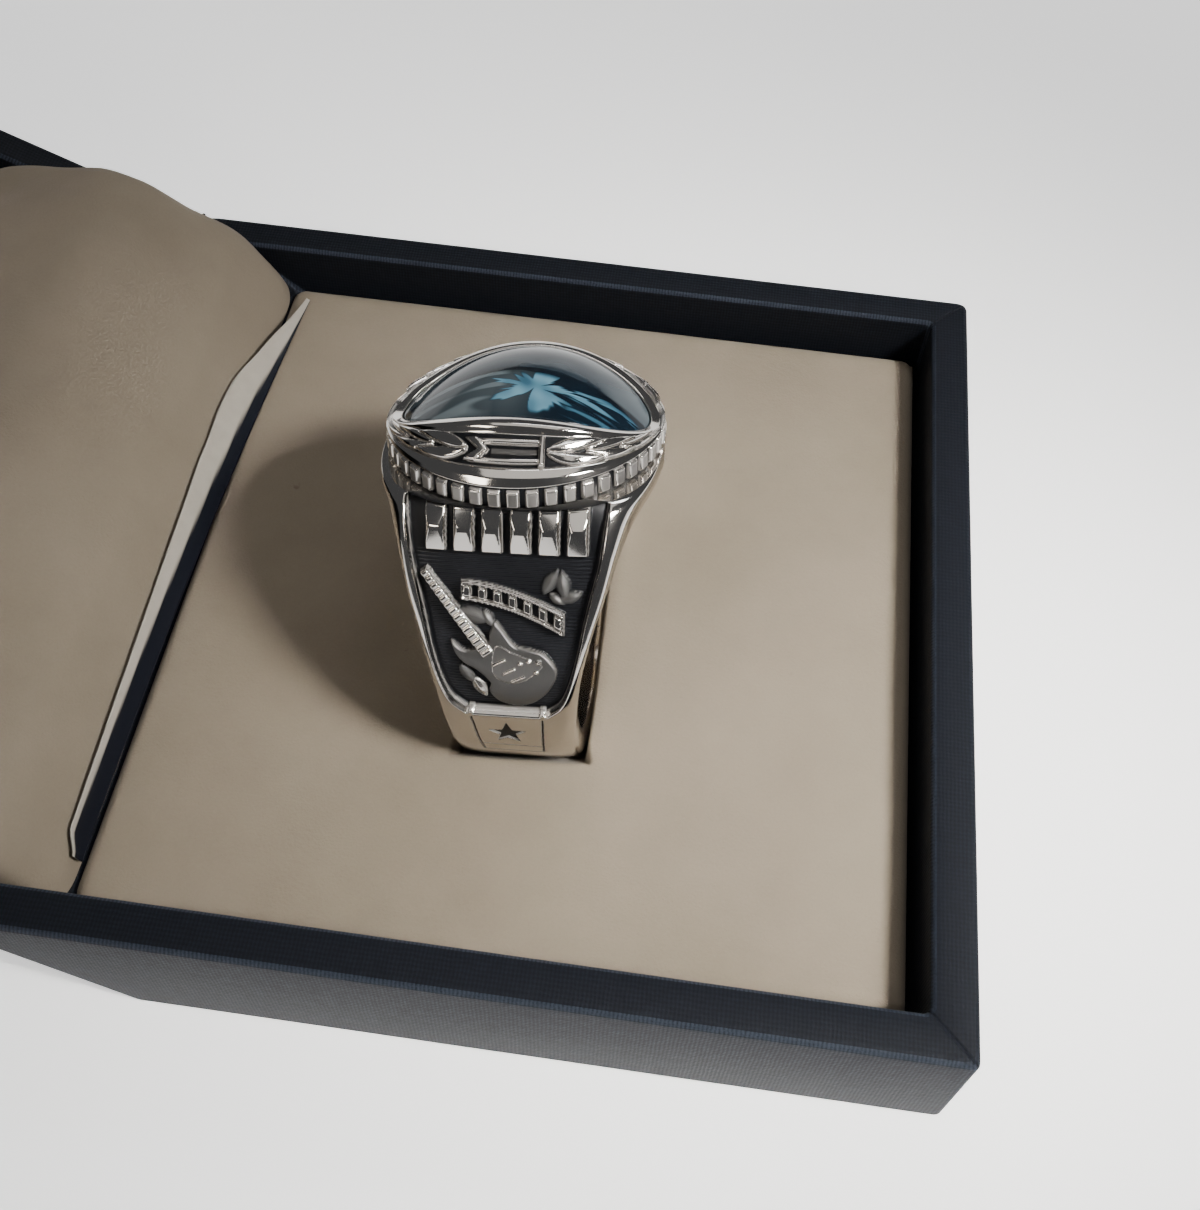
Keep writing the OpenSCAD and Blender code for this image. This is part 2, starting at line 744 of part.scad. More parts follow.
// Lining of the lid: thickness over the slanted wall, then flat under the top.
// along: share of the slanted wall's length. thick: share of the bulge's thickness.
lining_rows = [
    // along, thick
    [0.11, 0.16],
    [0.16, 0.55],
    [0.22, 0.90],
    [0.30, 1.00],
    [0.42, 0.95],
    [0.55, 0.70],
    [0.70, 0.36],
    [0.84, 0.22]
];
function over_slant(along, thick) =
    [along * slant_len * cos(slant), along * slant_len * sin(slant)]
        + [sin(slant), -cos(slant)] * (slant_t + lining_gap + thick);
module lid_lining() {
    ceiling = lid_depth - slant_t - lining_gap;
    corner_x = slant_level + lining_gap / sin(slant) + ceiling / tan(slant);
    color(cream)
        lid_place()
            slab(lining_len, concat(
                [over_slant(lining_rows[0][0], 0)],
                [for (row = lining_rows) over_slant(row[0], lining_t * row[1])],
                [
                    [corner_x + lining_flat * 0.6, ceiling - lining_flat],
                    [lid_wide - wall_t - lining_gap, ceiling - lining_flat],
                    [lid_wide - wall_t - lining_gap, ceiling],
                    [corner_x, ceiling]
                ]
            ));
}

ring_casting();
ring_stone();
box_base();
ring_pad();
base_lining();
box_lid();
lid_lining();
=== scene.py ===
"""A cast class ring with an oval blue stone in its open presentation box, dressed for its picture.

Lengths in the classes are millimetres in the frame of the part, and go into the meshes as metres.
"""
import logging
import math
from dataclasses import dataclass, field
from enum import Enum

import bmesh
import bpy
import numpy as np
from mathutils import Matrix, Vector


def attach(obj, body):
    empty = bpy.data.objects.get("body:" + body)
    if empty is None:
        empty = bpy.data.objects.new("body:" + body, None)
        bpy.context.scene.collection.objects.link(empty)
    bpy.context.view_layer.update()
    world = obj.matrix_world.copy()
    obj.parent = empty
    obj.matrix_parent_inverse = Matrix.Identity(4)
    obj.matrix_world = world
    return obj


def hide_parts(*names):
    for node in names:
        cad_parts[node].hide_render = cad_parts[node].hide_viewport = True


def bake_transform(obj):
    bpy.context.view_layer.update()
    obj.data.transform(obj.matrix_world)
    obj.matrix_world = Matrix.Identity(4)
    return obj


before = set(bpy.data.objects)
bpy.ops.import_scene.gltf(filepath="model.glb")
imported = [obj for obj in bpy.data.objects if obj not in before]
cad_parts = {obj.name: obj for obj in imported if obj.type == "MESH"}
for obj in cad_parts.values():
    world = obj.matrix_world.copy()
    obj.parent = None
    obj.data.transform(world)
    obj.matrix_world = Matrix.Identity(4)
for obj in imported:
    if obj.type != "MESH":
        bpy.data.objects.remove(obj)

LOG = logging.getLogger("ring_scene")
MM = 0.001
METRES_TO_MM = 1000.0
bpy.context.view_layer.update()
Colour = tuple[float, float, float]
Point = tuple[float, float, float]
Pair = tuple[float, float]


class Side(Enum):
    """The two shoulders of the ring: the one that faces the camera, and the one behind."""

    FRONT = 1.0
    BACK = -1.0


def ramp(value: np.ndarray, low: float, high: float) -> np.ndarray:
    """Rise smoothly from 0 where value is low to 1 where it is high.

    Args:
        value: The numbers to map.
        low: Where the rise starts.
        high: Where it ends.

    Returns:
        3t^2 - 2t^3 of the clamped share t of the way from low to high.
    """
    share = np.clip((value - low) / (high - low), 0.0, 1.0)
    return share * share * (3.0 - 2.0 * share)


def smooth_column(keys: list[float], values: list[float], at: np.ndarray) -> np.ndarray:
    """Read a table with a cubic that doesn't overshoot between its rows.

    Args:
        keys: Rising keys of the rows.
        values: One value for each row.
        at: Where to read.

    Returns:
        The cubic through the rows whose slope at a row is the harmonic mean of its neighbours' slopes.
    """
    key, val = np.array(keys, float), np.array(values, float)
    step = np.diff(key)
    slope = np.diff(val) / step
    turn = np.zeros_like(val)
    turn[0], turn[-1] = slope[0], slope[-1]
    both = slope[:-1] * slope[1:] > 0
    mean = 2.0 * slope[:-1] * slope[1:] / np.where(both, slope[:-1] + slope[1:], 1.0)
    turn[1:-1] = np.where(both, mean, 0.0)
    at = np.clip(at, key[0], key[-1])
    i = np.clip(np.searchsorted(key, at, side="right") - 1, 0, len(key) - 2)
    t = (at - key[i]) / step[i]
    return (
        (1 + 2 * t) * (1 - t) ** 2 * val[i] + t * (1 - t) ** 2 * step[i] * turn[i]
        + t * t * (3 - 2 * t) * val[i + 1] + t * t * (t - 1) * step[i] * turn[i + 1]
    )


def inside_depth(outline: np.ndarray, x: np.ndarray, y: np.ndarray) -> np.ndarray:
    """Distance of points from a closed outline, positive inside it.

    Args:
        outline: Corners of the outline, one row each.
        x: First coordinates of the points.
        y: Second coordinates of the points.

    Returns:
        The least distance to a side, with the sign of the count of sides that a level ray crosses.
    """
    near = np.full(x.shape, 1e9)
    crossed = np.zeros(x.shape, bool)
    for p, q in zip(outline, np.roll(outline, -1, axis=0)):
        dx, dy = q - p
        t = np.clip(((x - p[0]) * dx + (y - p[1]) * dy) / (dx * dx + dy * dy + 1e-12), 0.0, 1.0)
        near = np.minimum(near, np.hypot(x - p[0] - t * dx, y - p[1] - t * dy))
        if abs(dy) > 1e-12:
            spans = (p[1] > y) != (q[1] > y)
            crossed ^= spans & (x < p[0] + (y - p[1]) * dx / dy)
    return np.where(crossed, near, -near)


def rounded_outline(corners: list[tuple[float, float]], steps: int = 6) -> np.ndarray:
    """Closed curve through corners: between two corners, the cubic whose slopes are its neighbours' chords.

    Args:
        corners: Points that the curve passes.
        steps: Points for each span.

    Returns:
        The points of the curve, one row each.
    """
    p = np.array(corners, float)
    a, b, c, d = (np.roll(p, k, axis=0)[:, None, :] for k in (1, 0, -1, -2))
    t = np.linspace(0.0, 1.0, steps, endpoint=False)[None, :, None]
    square, cube = 2 * a - 5 * b + 4 * c - d, 3 * b - a - 3 * c + d
    curve = 0.5 * (2 * b + (c - a) * t + square * t ** 2 + cube * t ** 3)
    return curve.reshape(-1, 2)


def bar(p: Pair, q: Pair, wide: float, end: float | None = None) -> np.ndarray:
    """Outline of a straight bar: its two ends, each moved by half its width to either side.

    Args:
        p: Middle of its first end.
        q: Middle of its other end.
        wide: Width at p.
        end: Width at q, the same as at p where it isn't given.

    Returns:
        The four corners.
    """
    a, b = np.array(p, float), np.array(q, float)
    s = np.array([-(b - a)[1], (b - a)[0]]) / np.linalg.norm(b - a) / 2
    end = wide if end is None else end
    return np.array([a - s * wide, b - s * end, b + s * end, a + s * wide])


def star(x: float, y: float, reach: float) -> np.ndarray:
    """Outline of a five-pointed star with its first point towards negative y.

    Args:
        x: First coordinate of its middle.
        y: Second coordinate of its middle.
        reach: Distance of its points. The corners between them are at 0.42 of it.

    Returns:
        The ten corners.
    """
    k = np.arange(10)
    far = np.where(k % 2 == 0, reach, reach * 0.42)
    turn = np.radians(-90 + 36 * k)
    return np.stack([x + far * np.cos(turn), y + far * np.sin(turn)], 1)


def wave_field(x: np.ndarray, y: np.ndarray, seed: int, size: float, count: int = 14) -> np.ndarray:
    """A smooth uneven field between about -1 and 1: a sum of plane waves in seeded directions.

    Args:
        x: First coordinates.
        y: Second coordinates.
        seed: Seed of the directions and phases.
        size: Mean length of the waves.
        count: Number of waves.

    Returns:
        The sum of the waves, scaled by the root of their number.
    """
    rng = np.random.default_rng(seed)
    total = np.zeros(np.broadcast(x, y).shape)
    limits = ((0, 2 * np.pi), (0, 6.28), (0.6, 1.8))
    turns, phases, shares = (rng.uniform(low, high, count) for low, high in limits)
    for turn, phase, share in zip(turns, phases, shares):
        k = 2 * np.pi / (size * share)
        total = total + np.sin(k * (x * np.cos(turn) + y * np.sin(turn)) + phase)
    return total / math.sqrt(count)


def run_length(points: np.ndarray) -> np.ndarray:
    """Length along a chain of points: 0 at the first, and the sum of the steps so far at the others."""
    return np.concatenate([[0.0], np.cumsum(np.hypot(*np.diff(points, axis=0).T))])


def mesh_values(items: bpy.types.bpy_prop_collection, key: str, kind: type, width: int = 1) -> np.ndarray:
    """Read one property of all the points, faces or corners of a mesh.

    Args:
        items: The points, faces or corners.
        key: Name of the property.
        kind: Type of its numbers.
        width: How many numbers one item has.

    Returns:
        The numbers, one row for each item where an item has several.
    """
    values = np.empty(len(items) * width, kind)
    items.foreach_get(key, values)
    return values.reshape(-1, width) if width > 1 else values


def add_object(name: str, data: bpy.types.ID) -> bpy.types.Object:
    """Make an object and link it to the scene.

    Args:
        name: Its name.
        data: Its mesh, lamp or camera.

    Returns:
        The object.
    """
    made = bpy.data.objects.new(name, data)
    bpy.context.scene.collection.objects.link(made)
    return made


def new_piece(name: str, points: np.ndarray, faces: np.ndarray, flat_from: int | None = None,
              fields: dict[str, np.ndarray] | None = None, uv: np.ndarray | None = None) -> bpy.types.Object:
    """Put a closed surface into a new object, with its faces turned outwards.

    Args:
        name: Name of the piece.
        points: Vertices in millimetres.
        faces: Corners of the faces, four each; a triangle repeats its last corner.
        flat_from: First face that is shaded flat, as the caps are.
        fields: Values for each vertex, by attribute name.
        uv: Place of each vertex on the piece's own map, in millimetres.

    Returns:
        The new object, linked to the scene.
    """
    a, b, c, d = (points[faces[:, k]] for k in range(4))
    volume = np.einsum("ij,ij->", a, np.cross(b, c)) + np.einsum("ij,ij->", a, np.cross(c, d))
    if volume < 0:
        faces = np.where((faces[:, 2] == faces[:, 3])[:, None], faces[:, [1, 0, 2, 2]], faces[:, ::-1])
    three = faces[:, 2] == faces[:, 3]
    mesh = bpy.data.meshes.new(name)
    mesh.vertices.add(len(points))
    mesh.vertices.foreach_set("co", (points * MM).astype(np.float32).ravel())
    sizes = np.where(three, 3, 4)
    keep = np.ones(faces.shape, bool)
    keep[three, 3] = False
    corners = faces[keep]
    mesh.loops.add(len(corners))
    mesh.loops.foreach_set("vertex_index", corners.astype(np.int32))
    mesh.polygons.add(len(faces))
    mesh.polygons.foreach_set("loop_start", (np.cumsum(sizes) - sizes).astype(np.int32))
    mesh.update(calc_edges=True)
    smooth = np.ones(len(faces), bool)
    if flat_from is not None:
        smooth[flat_from:] = False
    mesh.polygons.foreach_set("use_smooth", smooth)
    for key, values in (fields or {}).items():
        mesh.attributes.new(key, "FLOAT", "POINT").data.foreach_set("value", values.astype(np.float32))
    if uv is not None:
        mesh.uv_layers.new(name="UVMap").data.foreach_set("uv", uv[corners].astype(np.float32).ravel())
    mesh.validate()
    mesh.update()
    return add_object(name, mesh)


def ring_faces(rows: int, cols: int) -> np.ndarray:
    """Four-cornered faces between rows of closed rings: point j of a ring meets point j of the next.

    Args:
        rows: Number of rings.
        cols: Number of points in each.

    Returns:
        The corners of the faces, one row each.
    """
    i, j = np.meshgrid(np.arange(rows - 1), np.arange(cols), indexing="ij")
    k = (j + 1) % cols
    return np.stack([i * cols + j, i * cols + k, (i + 1) * cols + k, (i + 1) * cols + j], -1).reshape(-1, 4)


def closed_loft(name: str, rings: np.ndarray, fields: dict[str, np.ndarray] | None = None,
                uv: np.ndarray | None = None, flat_caps: bool = True) -> bpy.types.Object:
    """A loft through closed rings, with a fan of triangles over each end.

    Args:
        name: Name of the piece.
        rings: Points by ring, place on the ring and axis, in millimetres.
        fields: Values by ring and place, by attribute name.
        uv: Map places by ring, place and axis.
        flat_caps: Whether the end fans are shaded flat.

    Returns:
        The new object.
    """
    rows, cols = rings.shape[:2]
    ends = np.stack([rings[0].mean(0), rings[-1].mean(0)])
    side = ring_faces(rows, cols)
    j = np.arange(cols)
    k = (j + 1) % cols
    first = np.stack([k, j, np.full(cols, rows * cols), np.full(cols, rows * cols)], 1)
    last = np.stack([j, k, np.full(cols, rows * cols + 1), np.full(cols, rows * cols + 1)], 1)
    last[:, :2] += (rows - 1) * cols
    extra = {}
    for key, values in (fields or {}).items():
        extra[key] = np.concatenate([values.ravel(), [values[0].mean(), values[-1].mean()]])
    flat_uv = None
    if uv is not None:
        flat_uv = np.concatenate([uv.reshape(-1, 2), uv[0].mean(0)[None], uv[-1].mean(0)[None]])
    return new_piece(name, np.concatenate([rings.reshape(-1, 3), ends]), np.concatenate([side, first, last]),
                     len(side) if flat_caps else None, extra, flat_uv)


class Value:
    """A number that varies over a surface: a socket, with Python's operators as Math nodes."""

    def __init__(self, maker: "Shader", socket: bpy.types.NodeSocket) -> None:
        """Keep the maker and the socket."""
        self.maker, self.socket = maker, socket

    def _math(self, operation: str, *terms: "Value | float") -> "Value":
        """Add a Math node with this operation on these terms."""
        node = self.maker.node("ShaderNodeMath", {"operation": operation}, dict(enumerate(terms)))
        return Value(self.maker, node.outputs[0])

    def __add__(self, other: "Value | float") -> "Value":
        """Sum."""
        return self._math("ADD", self, other)

    def __sub__(self, other: "Value | float") -> "Value":
        """Difference."""
        return self._math("SUBTRACT", self, other)

    def __rsub__(self, other: float) -> "Value":
        """Difference from a number."""
        return self._math("SUBTRACT", other, self)

    def __mul__(self, other: "Value | float") -> "Value":
        """Product."""
        return self._math("MULTIPLY", self, other)

    def __truediv__(self, other: "Value | float") -> "Value":
        """Quotient."""
        return self._math("DIVIDE", self, other)

    __radd__ = __add__
    __rmul__ = __mul__

    def power(self, exponent: float) -> "Value":
        """Power."""
        return self._math("POWER", self, exponent)

    def wave(self) -> "Value":
        """Sine, from -1 to 1."""
        return self._math("SINE", self)

    def size(self) -> "Value":
        """Size without its sign."""
        return self._math("ABSOLUTE", self)

    def clamp(self) -> "Value":
        """The value kept between 0 and 1."""
        return self._math("MINIMUM", self._math("MAXIMUM", self, 0.0), 1.0)

    def between(self, low: float, high: float) -> "Value":
        """0 at low and 1 at high, straight between them."""
        return ((self - low) / (high - low)).clamp()


class Shader:
    """One material under construction, with the nodes that finishes share."""

    def __init__(self, name: str) -> None:
        """Start an empty material with a Principled shader.

        Args:
            name: Name of the material.
        """
        self.material = bpy.data.materials.new(name)
        self.material.use_nodes = True
        self.tree = self.material.node_tree
        self.tree.nodes.clear()
        self.out = self.node("ShaderNodeOutputMaterial", {}, {})
        self.skin = self.node("ShaderNodeBsdfPrincipled", {}, {})
        self.tree.links.new(self.skin.outputs[0], self.out.inputs["Surface"])

    def node(self, kind: str, settings: dict, inputs: dict) -> bpy.types.Node:
        """Add a node.

        Args:
            kind: Its type.
            settings: Its properties, set first. "stops" gives a ramp's places and colours.
            inputs: Values, colours or links by socket name or number.

        Returns:
            The node.
        """
        made = self.tree.nodes.new(kind)
        for key, value in settings.items():
            if key == "stops":
                while len(made.color_ramp.elements) < len(value):
                    made.color_ramp.elements.new(0.5)
                for element, (place, colour) in zip(made.color_ramp.elements, value):
                    element.position, element.color = place, (*colour, 1.0)
            else:
                setattr(made, key, value)
        for key, value in inputs.items():
            self.put(made.inputs[key], value)
        return made

    def put(self, socket: bpy.types.NodeSocket, value: object) -> None:
        """Link a value or an output to a socket, or set its number or colour.

        Args:
            socket: The socket.
            value: A Value, an output, a number or a colour.
        """
        if isinstance(value, Value):
            value = value.socket
        if isinstance(value, bpy.types.NodeSocket):
            self.tree.links.new(value, socket)
        elif isinstance(value, tuple) and len(value) == 3 and socket.type == "RGBA":
            socket.default_value = (*value, 1.0)
        else:
            socket.default_value = value

    def skin_set(self, **values: object) -> None:
        """Set or link sockets of the Principled shader; an underscore stands for a space."""
        for key, value in values.items():
            self.put(self.skin.inputs[key.replace("_", " ")], value)

    def field(self, name: str) -> Value:
        """A vertex attribute of the piece."""
        return Value(self, self.node("ShaderNodeAttribute", {"attribute_name": name}, {}).outputs["Fac"])

    def place(self, own: bool = False) -> bpy.types.NodeSocket:
        """Object coordinates in metres, or the piece's own map in millimetres."""
        return self.node("ShaderNodeTexCoord", {}, {}).outputs["UV" if own else "Object"]

    def axes(self, own: bool = False) -> tuple[Value, Value, Value]:
        """The three coordinates of the place, each as a value."""
        parts = self.node("ShaderNodeSeparateXYZ", {}, {0: self.place(own)}).outputs
        return tuple(Value(self, parts[i]) for i in range(3))

    def noise(self, scale: float, detail: float = 3.0, own: bool = False, rough: float = 0.5) -> Value:
        """Uneven noise from 0 to 1.

        Args:
            scale: Number of its patches in a unit of length.
            detail: Number of its finer octaves.
            own: Whether it lies on the piece's own map and not on Object coordinates.
            rough: Share of each finer octave.

        Returns:
            The noise.
        """
        inputs = {"Vector": self.place(own), "Scale": scale, "Detail": detail, "Roughness": rough}
        return Value(self, self.node("ShaderNodeTexNoise", {}, inputs).outputs["Fac"])

    def mix(self, share: "Value | float", low: object, high: object) -> bpy.types.NodeSocket:
        """Mix two colours by a share."""
        made = self.node("ShaderNodeMix", {"data_type": "RGBA"}, {0: share, 6: low, 7: high})
        return made.outputs[2]

    def bump(self, height: Value, strength: float, distance: float) -> None:
        """Let a height in units of distance, in metres, turn the shader's normal."""
        made = self.node("ShaderNodeBump", {}, {"Strength": strength, "Distance": distance, "Height": height})
        self.skin_set(Normal=made.outputs[0])


@dataclass(frozen=True)
class CastSilver:
    """Polished silver with blackened recesses and sand-matte figures."""

    bright: Colour = (0.78, 0.74, 0.69)
    sanded: Colour = (0.15, 0.147, 0.143)
    black: Colour = (0.004, 0.0045, 0.006)
    soot: Colour = (0.022, 0.023, 0.027)
    rib_pitch: float = 0.23

    def build(self) -> bpy.types.Material:
        """Blend the three states by the piece's dark and matte fields, with fine ribs on black floors.

        Returns:
            The material.
        """
        s = Shader("cast_silver")
        dark, matte, rib = s.field("dark"), s.field("matte"), s.field("rib")
        grime = s.noise(420.0, 5.0).between(0.35, 0.7)
        scuff = s.noise(2600.0, 3.0)
        _, v, _ = s.axes(own=True)
        lines = (v * (2 * math.pi / self.rib_pitch)).wave() * 0.5 + 0.5
        ribs = lines * rib
        metal = s.mix(matte, self.bright, self.sanded)
        soot = s.mix((ribs * (grime * 0.6 + 0.4)).clamp(), self.black, self.soot)
        s.skin_set(
            Base_Color=s.mix(dark, metal, soot),
            Metallic=1.0 - dark * 0.85,
            Roughness=(scuff * 0.06 + 0.07 + matte * 0.36 + dark * 0.28 + ribs * dark * -0.12).clamp(),
            Specular_IOR_Level=0.25,
        )
        grain = s.noise(9000.0, 2.0)
        s.bump(grain * (matte * 0.9 + dark * 0.35 + 0.015) + ribs * 1.1, 0.5, 0.00003)
        return s.material


@dataclass(frozen=True)
class BlueGlass:
    """Deep blue glass under a hard gloss, whose colour is painted light and reflection, and which glows a
    little.
    """

    painted_light_stops: tuple[tuple[float, Colour], ...] = (
        (0.0, (0.002, 0.003, 0.005)), (0.28, (0.006, 0.014, 0.023)), (0.52, (0.030, 0.085, 0.125)),
        (0.78, (0.13, 0.265, 0.34)), (1.0, (0.34, 0.49, 0.56)))
    painted_gleam: Colour = (0.115, 0.140, 0.150)

    def build(self) -> bpy.types.Material:
        """Painted light: the facets' light by a ramp, mixed towards painted pale gleams and reflections.

        Returns:
            The material.
        """
        s = Shader("blue_glass")
        tone = s.node("ShaderNodeValToRGB", {"stops": self.painted_light_stops}, {0: s.field("tone")}).outputs[0]
        body = s.mix(s.field("pale"), tone, self.painted_gleam)
        # painted glow: the stone emits a little of its own painted colour
        s.skin_set(Base_Color=body, Roughness=0.08, Metallic=0.0, IOR=1.18, Coat_Weight=0.12,
                   Coat_Roughness=0.03, Emission_Color=body, Emission_Strength=0.25)
        return s.material


@dataclass(frozen=True)
class BookCloth:
    """Navy linen cloth on board, paler at worn edges, with painted light on the front wall. Lengths are
    millimetres.
    """

    dark: Colour = (0.0016, 0.0022, 0.0040)
    thread: Colour = (0.0050, 0.0070, 0.0120)
    painted_lit_thread: Colour = (0.0150, 0.0205, 0.0320)
    worn: Colour = (0.030, 0.038, 0.055)
    pitch: float = 0.25
    front_y: Pair = (-31.45, -31.7)
    fold_x: Pair = (26.0, 26.6)
    fold_off: float = 1.65

    def build(self) -> bpy.types.Material:
        """Two crossed sets of uneven threads on the piece's own map, with slubs and worn edges.

        The outer front wall has painted light: its threads are lighter, as if lit from the front.
        On the rim, a fold runs where |y| is fold_off more than x.

        Returns:
            The material.
        """
        s = Shader("navy_book_cloth")
        u, v, _ = s.axes(own=True)
        x, y, _ = s.axes()
        drift = s.noise(0.9, 3.0, own=True) * 1.6
        k = 2 * math.pi / self.pitch
        warp = ((u + drift * 0.10) * k).wave() * 0.5 + 0.5
        weft = ((v + drift * 0.12) * (k * 0.8)).wave() * 0.5 + 0.5
        slub = s.noise(1.3, 5.0, own=True, rough=0.7)
        fine = s.noise(6.5, 3.0, own=True, rough=0.7)
        weave = (warp * 0.4 + weft * 0.25 + fine * 0.5) * (slub * 1.1 + 0.35)
        edge = (s.field("edge") * ((fine * 1.6 - 0.35).clamp() + warp * 0.5)).clamp()
        # painted light: the outer front wall's threads are mixed towards a lighter colour, as if lit from the
        # front
        front = (y * METRES_TO_MM).between(*self.front_y)
        thread = s.mix(front * (slub * 1.4 - 0.1).clamp(), self.thread, self.painted_lit_thread)
        cloth = s.mix((weave.power(1.4) * 1.1).clamp(), self.dark, thread)
        off = (x - y.size()) * METRES_TO_MM + self.fold_off
        fold = (1.0 - off.size() * 5.0).clamp() * (x * METRES_TO_MM).between(*self.fold_x)
        s.skin_set(Base_Color=s.mix((edge * 0.8 - fold * 0.4).clamp(), cloth, self.worn),
                   Roughness=(0.66 - weave * 0.12 + edge * 0.1).clamp(), Specular_IOR_Level=0.14,
                   Sheen_Weight=0.02)
        s.bump(weave * 0.8 + slub * 0.6 - fold * 2.2, 0.6, 0.00006)
        return s.material


@dataclass(frozen=True)
class Velour:
    """Cream velour with a soft uneven nap."""

    light: Colour = (0.235, 0.198, 0.150)
    shade: Colour = (0.160, 0.133, 0.098)
    deep: Colour = (0.05, 0.04, 0.03)

    def build(self) -> bpy.types.Material:
        """Nap brushed in broad patches, a fine pile, a few darker specks, and painted shade by the edge
        field.

        Returns:
            The material.
        """
        s = Shader("cream_velour")
        nap = s.noise(55.0, 4.0, rough=0.6).between(0.3, 0.72)
        pile = s.noise(5200.0, 3.0, rough=0.7)
        speck = s.noise(700.0, 2.0).between(0.77, 0.83)
        base = s.mix((nap * 0.65 + pile * 0.35).clamp(), self.shade, self.light)
        # towards deep: the real darker specks, and painted shade where the piece's edge field is set
        s.skin_set(Base_Color=s.mix(speck * 0.35 + s.field("edge") * 0.5, base, self.deep), Roughness=0.93,
                   Sheen_Weight=0.06, Sheen_Roughness=0.5, Specular_IOR_Level=0.12)
        s.bump(pile + s.noise(1500.0, 2.0) * 0.7, 0.45, 0.00010)
        return s.material


@dataclass(frozen=True)
class PaleFloor:
    """Plain pale studio floor, with a glow of its own that keeps it pale under weak lights."""

    low: Colour = (0.86, 0.86, 0.86)
    high: Colour = (0.90, 0.90, 0.895)
    glow: float = 0.85

    def build(self) -> bpy.types.Material:
        """A matt near-white with a very faint mottle.

        Returns:
            The material.
        """
        s = Shader("pale_floor")
        s.skin_set(Base_Color=s.mix(s.noise(9.0), self.low, self.high), Roughness=0.85,
                   Emission_Color=(1.0, 1.0, 1.0), Emission_Strength=self.glow)
        return s.material


@dataclass(frozen=True)
class RingFrame:
    """Where the ring stands: its own axes are x along the finger, z towards the stone."""

    at: Point = (-0.7, -3.6, 13.14)
    lean: float = 22.3
    roll: float = -4.8

    def matrix(self) -> np.ndarray:
        """Turn by the roll about y, then by minus the lean about x.

        Returns:
            The ring's axes in the part's frame, as columns.
        """
        a, b = math.radians(-self.lean), math.radians(self.roll)
        tip = np.array([[1, 0, 0], [0, math.cos(a), -math.sin(a)], [0, math.sin(a), math.cos(a)]])
        side = np.array([[math.cos(b), 0, math.sin(b)], [0, 1, 0], [-math.sin(b), 0, math.cos(b)]])
        return tip @ side

    def place(self, points: np.ndarray) -> np.ndarray:
        """Move points from the ring's axes to the part's frame."""
        return points @ self.matrix().T + np.array(self.at)


@dataclass
class Relief:
    """Raised and sunk work on a developed surface: height in millimetres over a grid of places."""

    x: np.ndarray
    v: np.ndarray
    height: np.ndarray
    matte: np.ndarray
    dark: np.ndarray

    def share(self, outline: np.ndarray, low: float, high: float) -> np.ndarray:
        """Rise from 0 to 1 between two distances inside an outline."""
        return ramp(inside_depth(outline, self.x, self.v), low, high)

    def sink(self, outline: np.ndarray, depth: float, wall: float = 0.14) -> None:
        """Sink the inside of an outline to a depth, with walls of this width."""
        share = self.share(outline, -wall / 2, wall / 2)
        self.height = self.height * (1 - share) - depth * share

    def lift(self, now: np.ndarray, gate: np.ndarray, matte: np.ndarray | float, bury: float = 0.0) -> None:
        """Take a figure where it lies higher than the work so far.

        Args:
            now: Height of the figure.
            gate: Above 0 where the figure is.
            matte: How matte the figure is.
            bury: How far below the work so far it may lie and still be taken.
        """
        wins = (gate > 0) & (now > self.height - bury)
        self.height = np.where(wins, now, self.height)
        self.matte = np.where(wins, matte, self.matte)

    def raise_to(self, outline: np.ndarray, top: np.ndarray | float, floor: float, wall: float = 0.12,
                 matte: float = 0.0) -> None:
        """Raise a figure from the floor.

        Args:
            outline: Outline of the figure's foot.
            top: Height of its top, the same all over or by place.
            floor: Height that it rises from.
            wall: Width of its sloping edge.
            matte: How matte its top is.
        """
        share = self.share(outline, 0.0, wall)
        self.lift(floor + (top - floor) * share, share, matte * share)

    def line(self, outline: np.ndarray, depth: float, wall: float = 0.05) -> None:
        """Sink and blacken a thin line or a small figure.

        Args:
            outline: Its outline.
            depth: How deep it is sunk.
            wall: Width of its sloping edge.
        """
        share = self.share(outline, -wall / 2, wall / 2)
        self.height = self.height - depth * share
        self.dark = np.maximum(self.dark, share)


@dataclass
class RingPart:
    """Sizes that the pieces of the ring share: half axes, and heights over the middle of the finger."""

    a: float = 8.85
    b: float = 9.2
    border_z: float = 10.871
    border_rise: float = 0.5
    stone_a: float = 7.85
    stone_b: float = 5.4
    lip_z: float = 15.1
    lip_arch: float = 2.5
    ring: RingFrame = RingFrame()


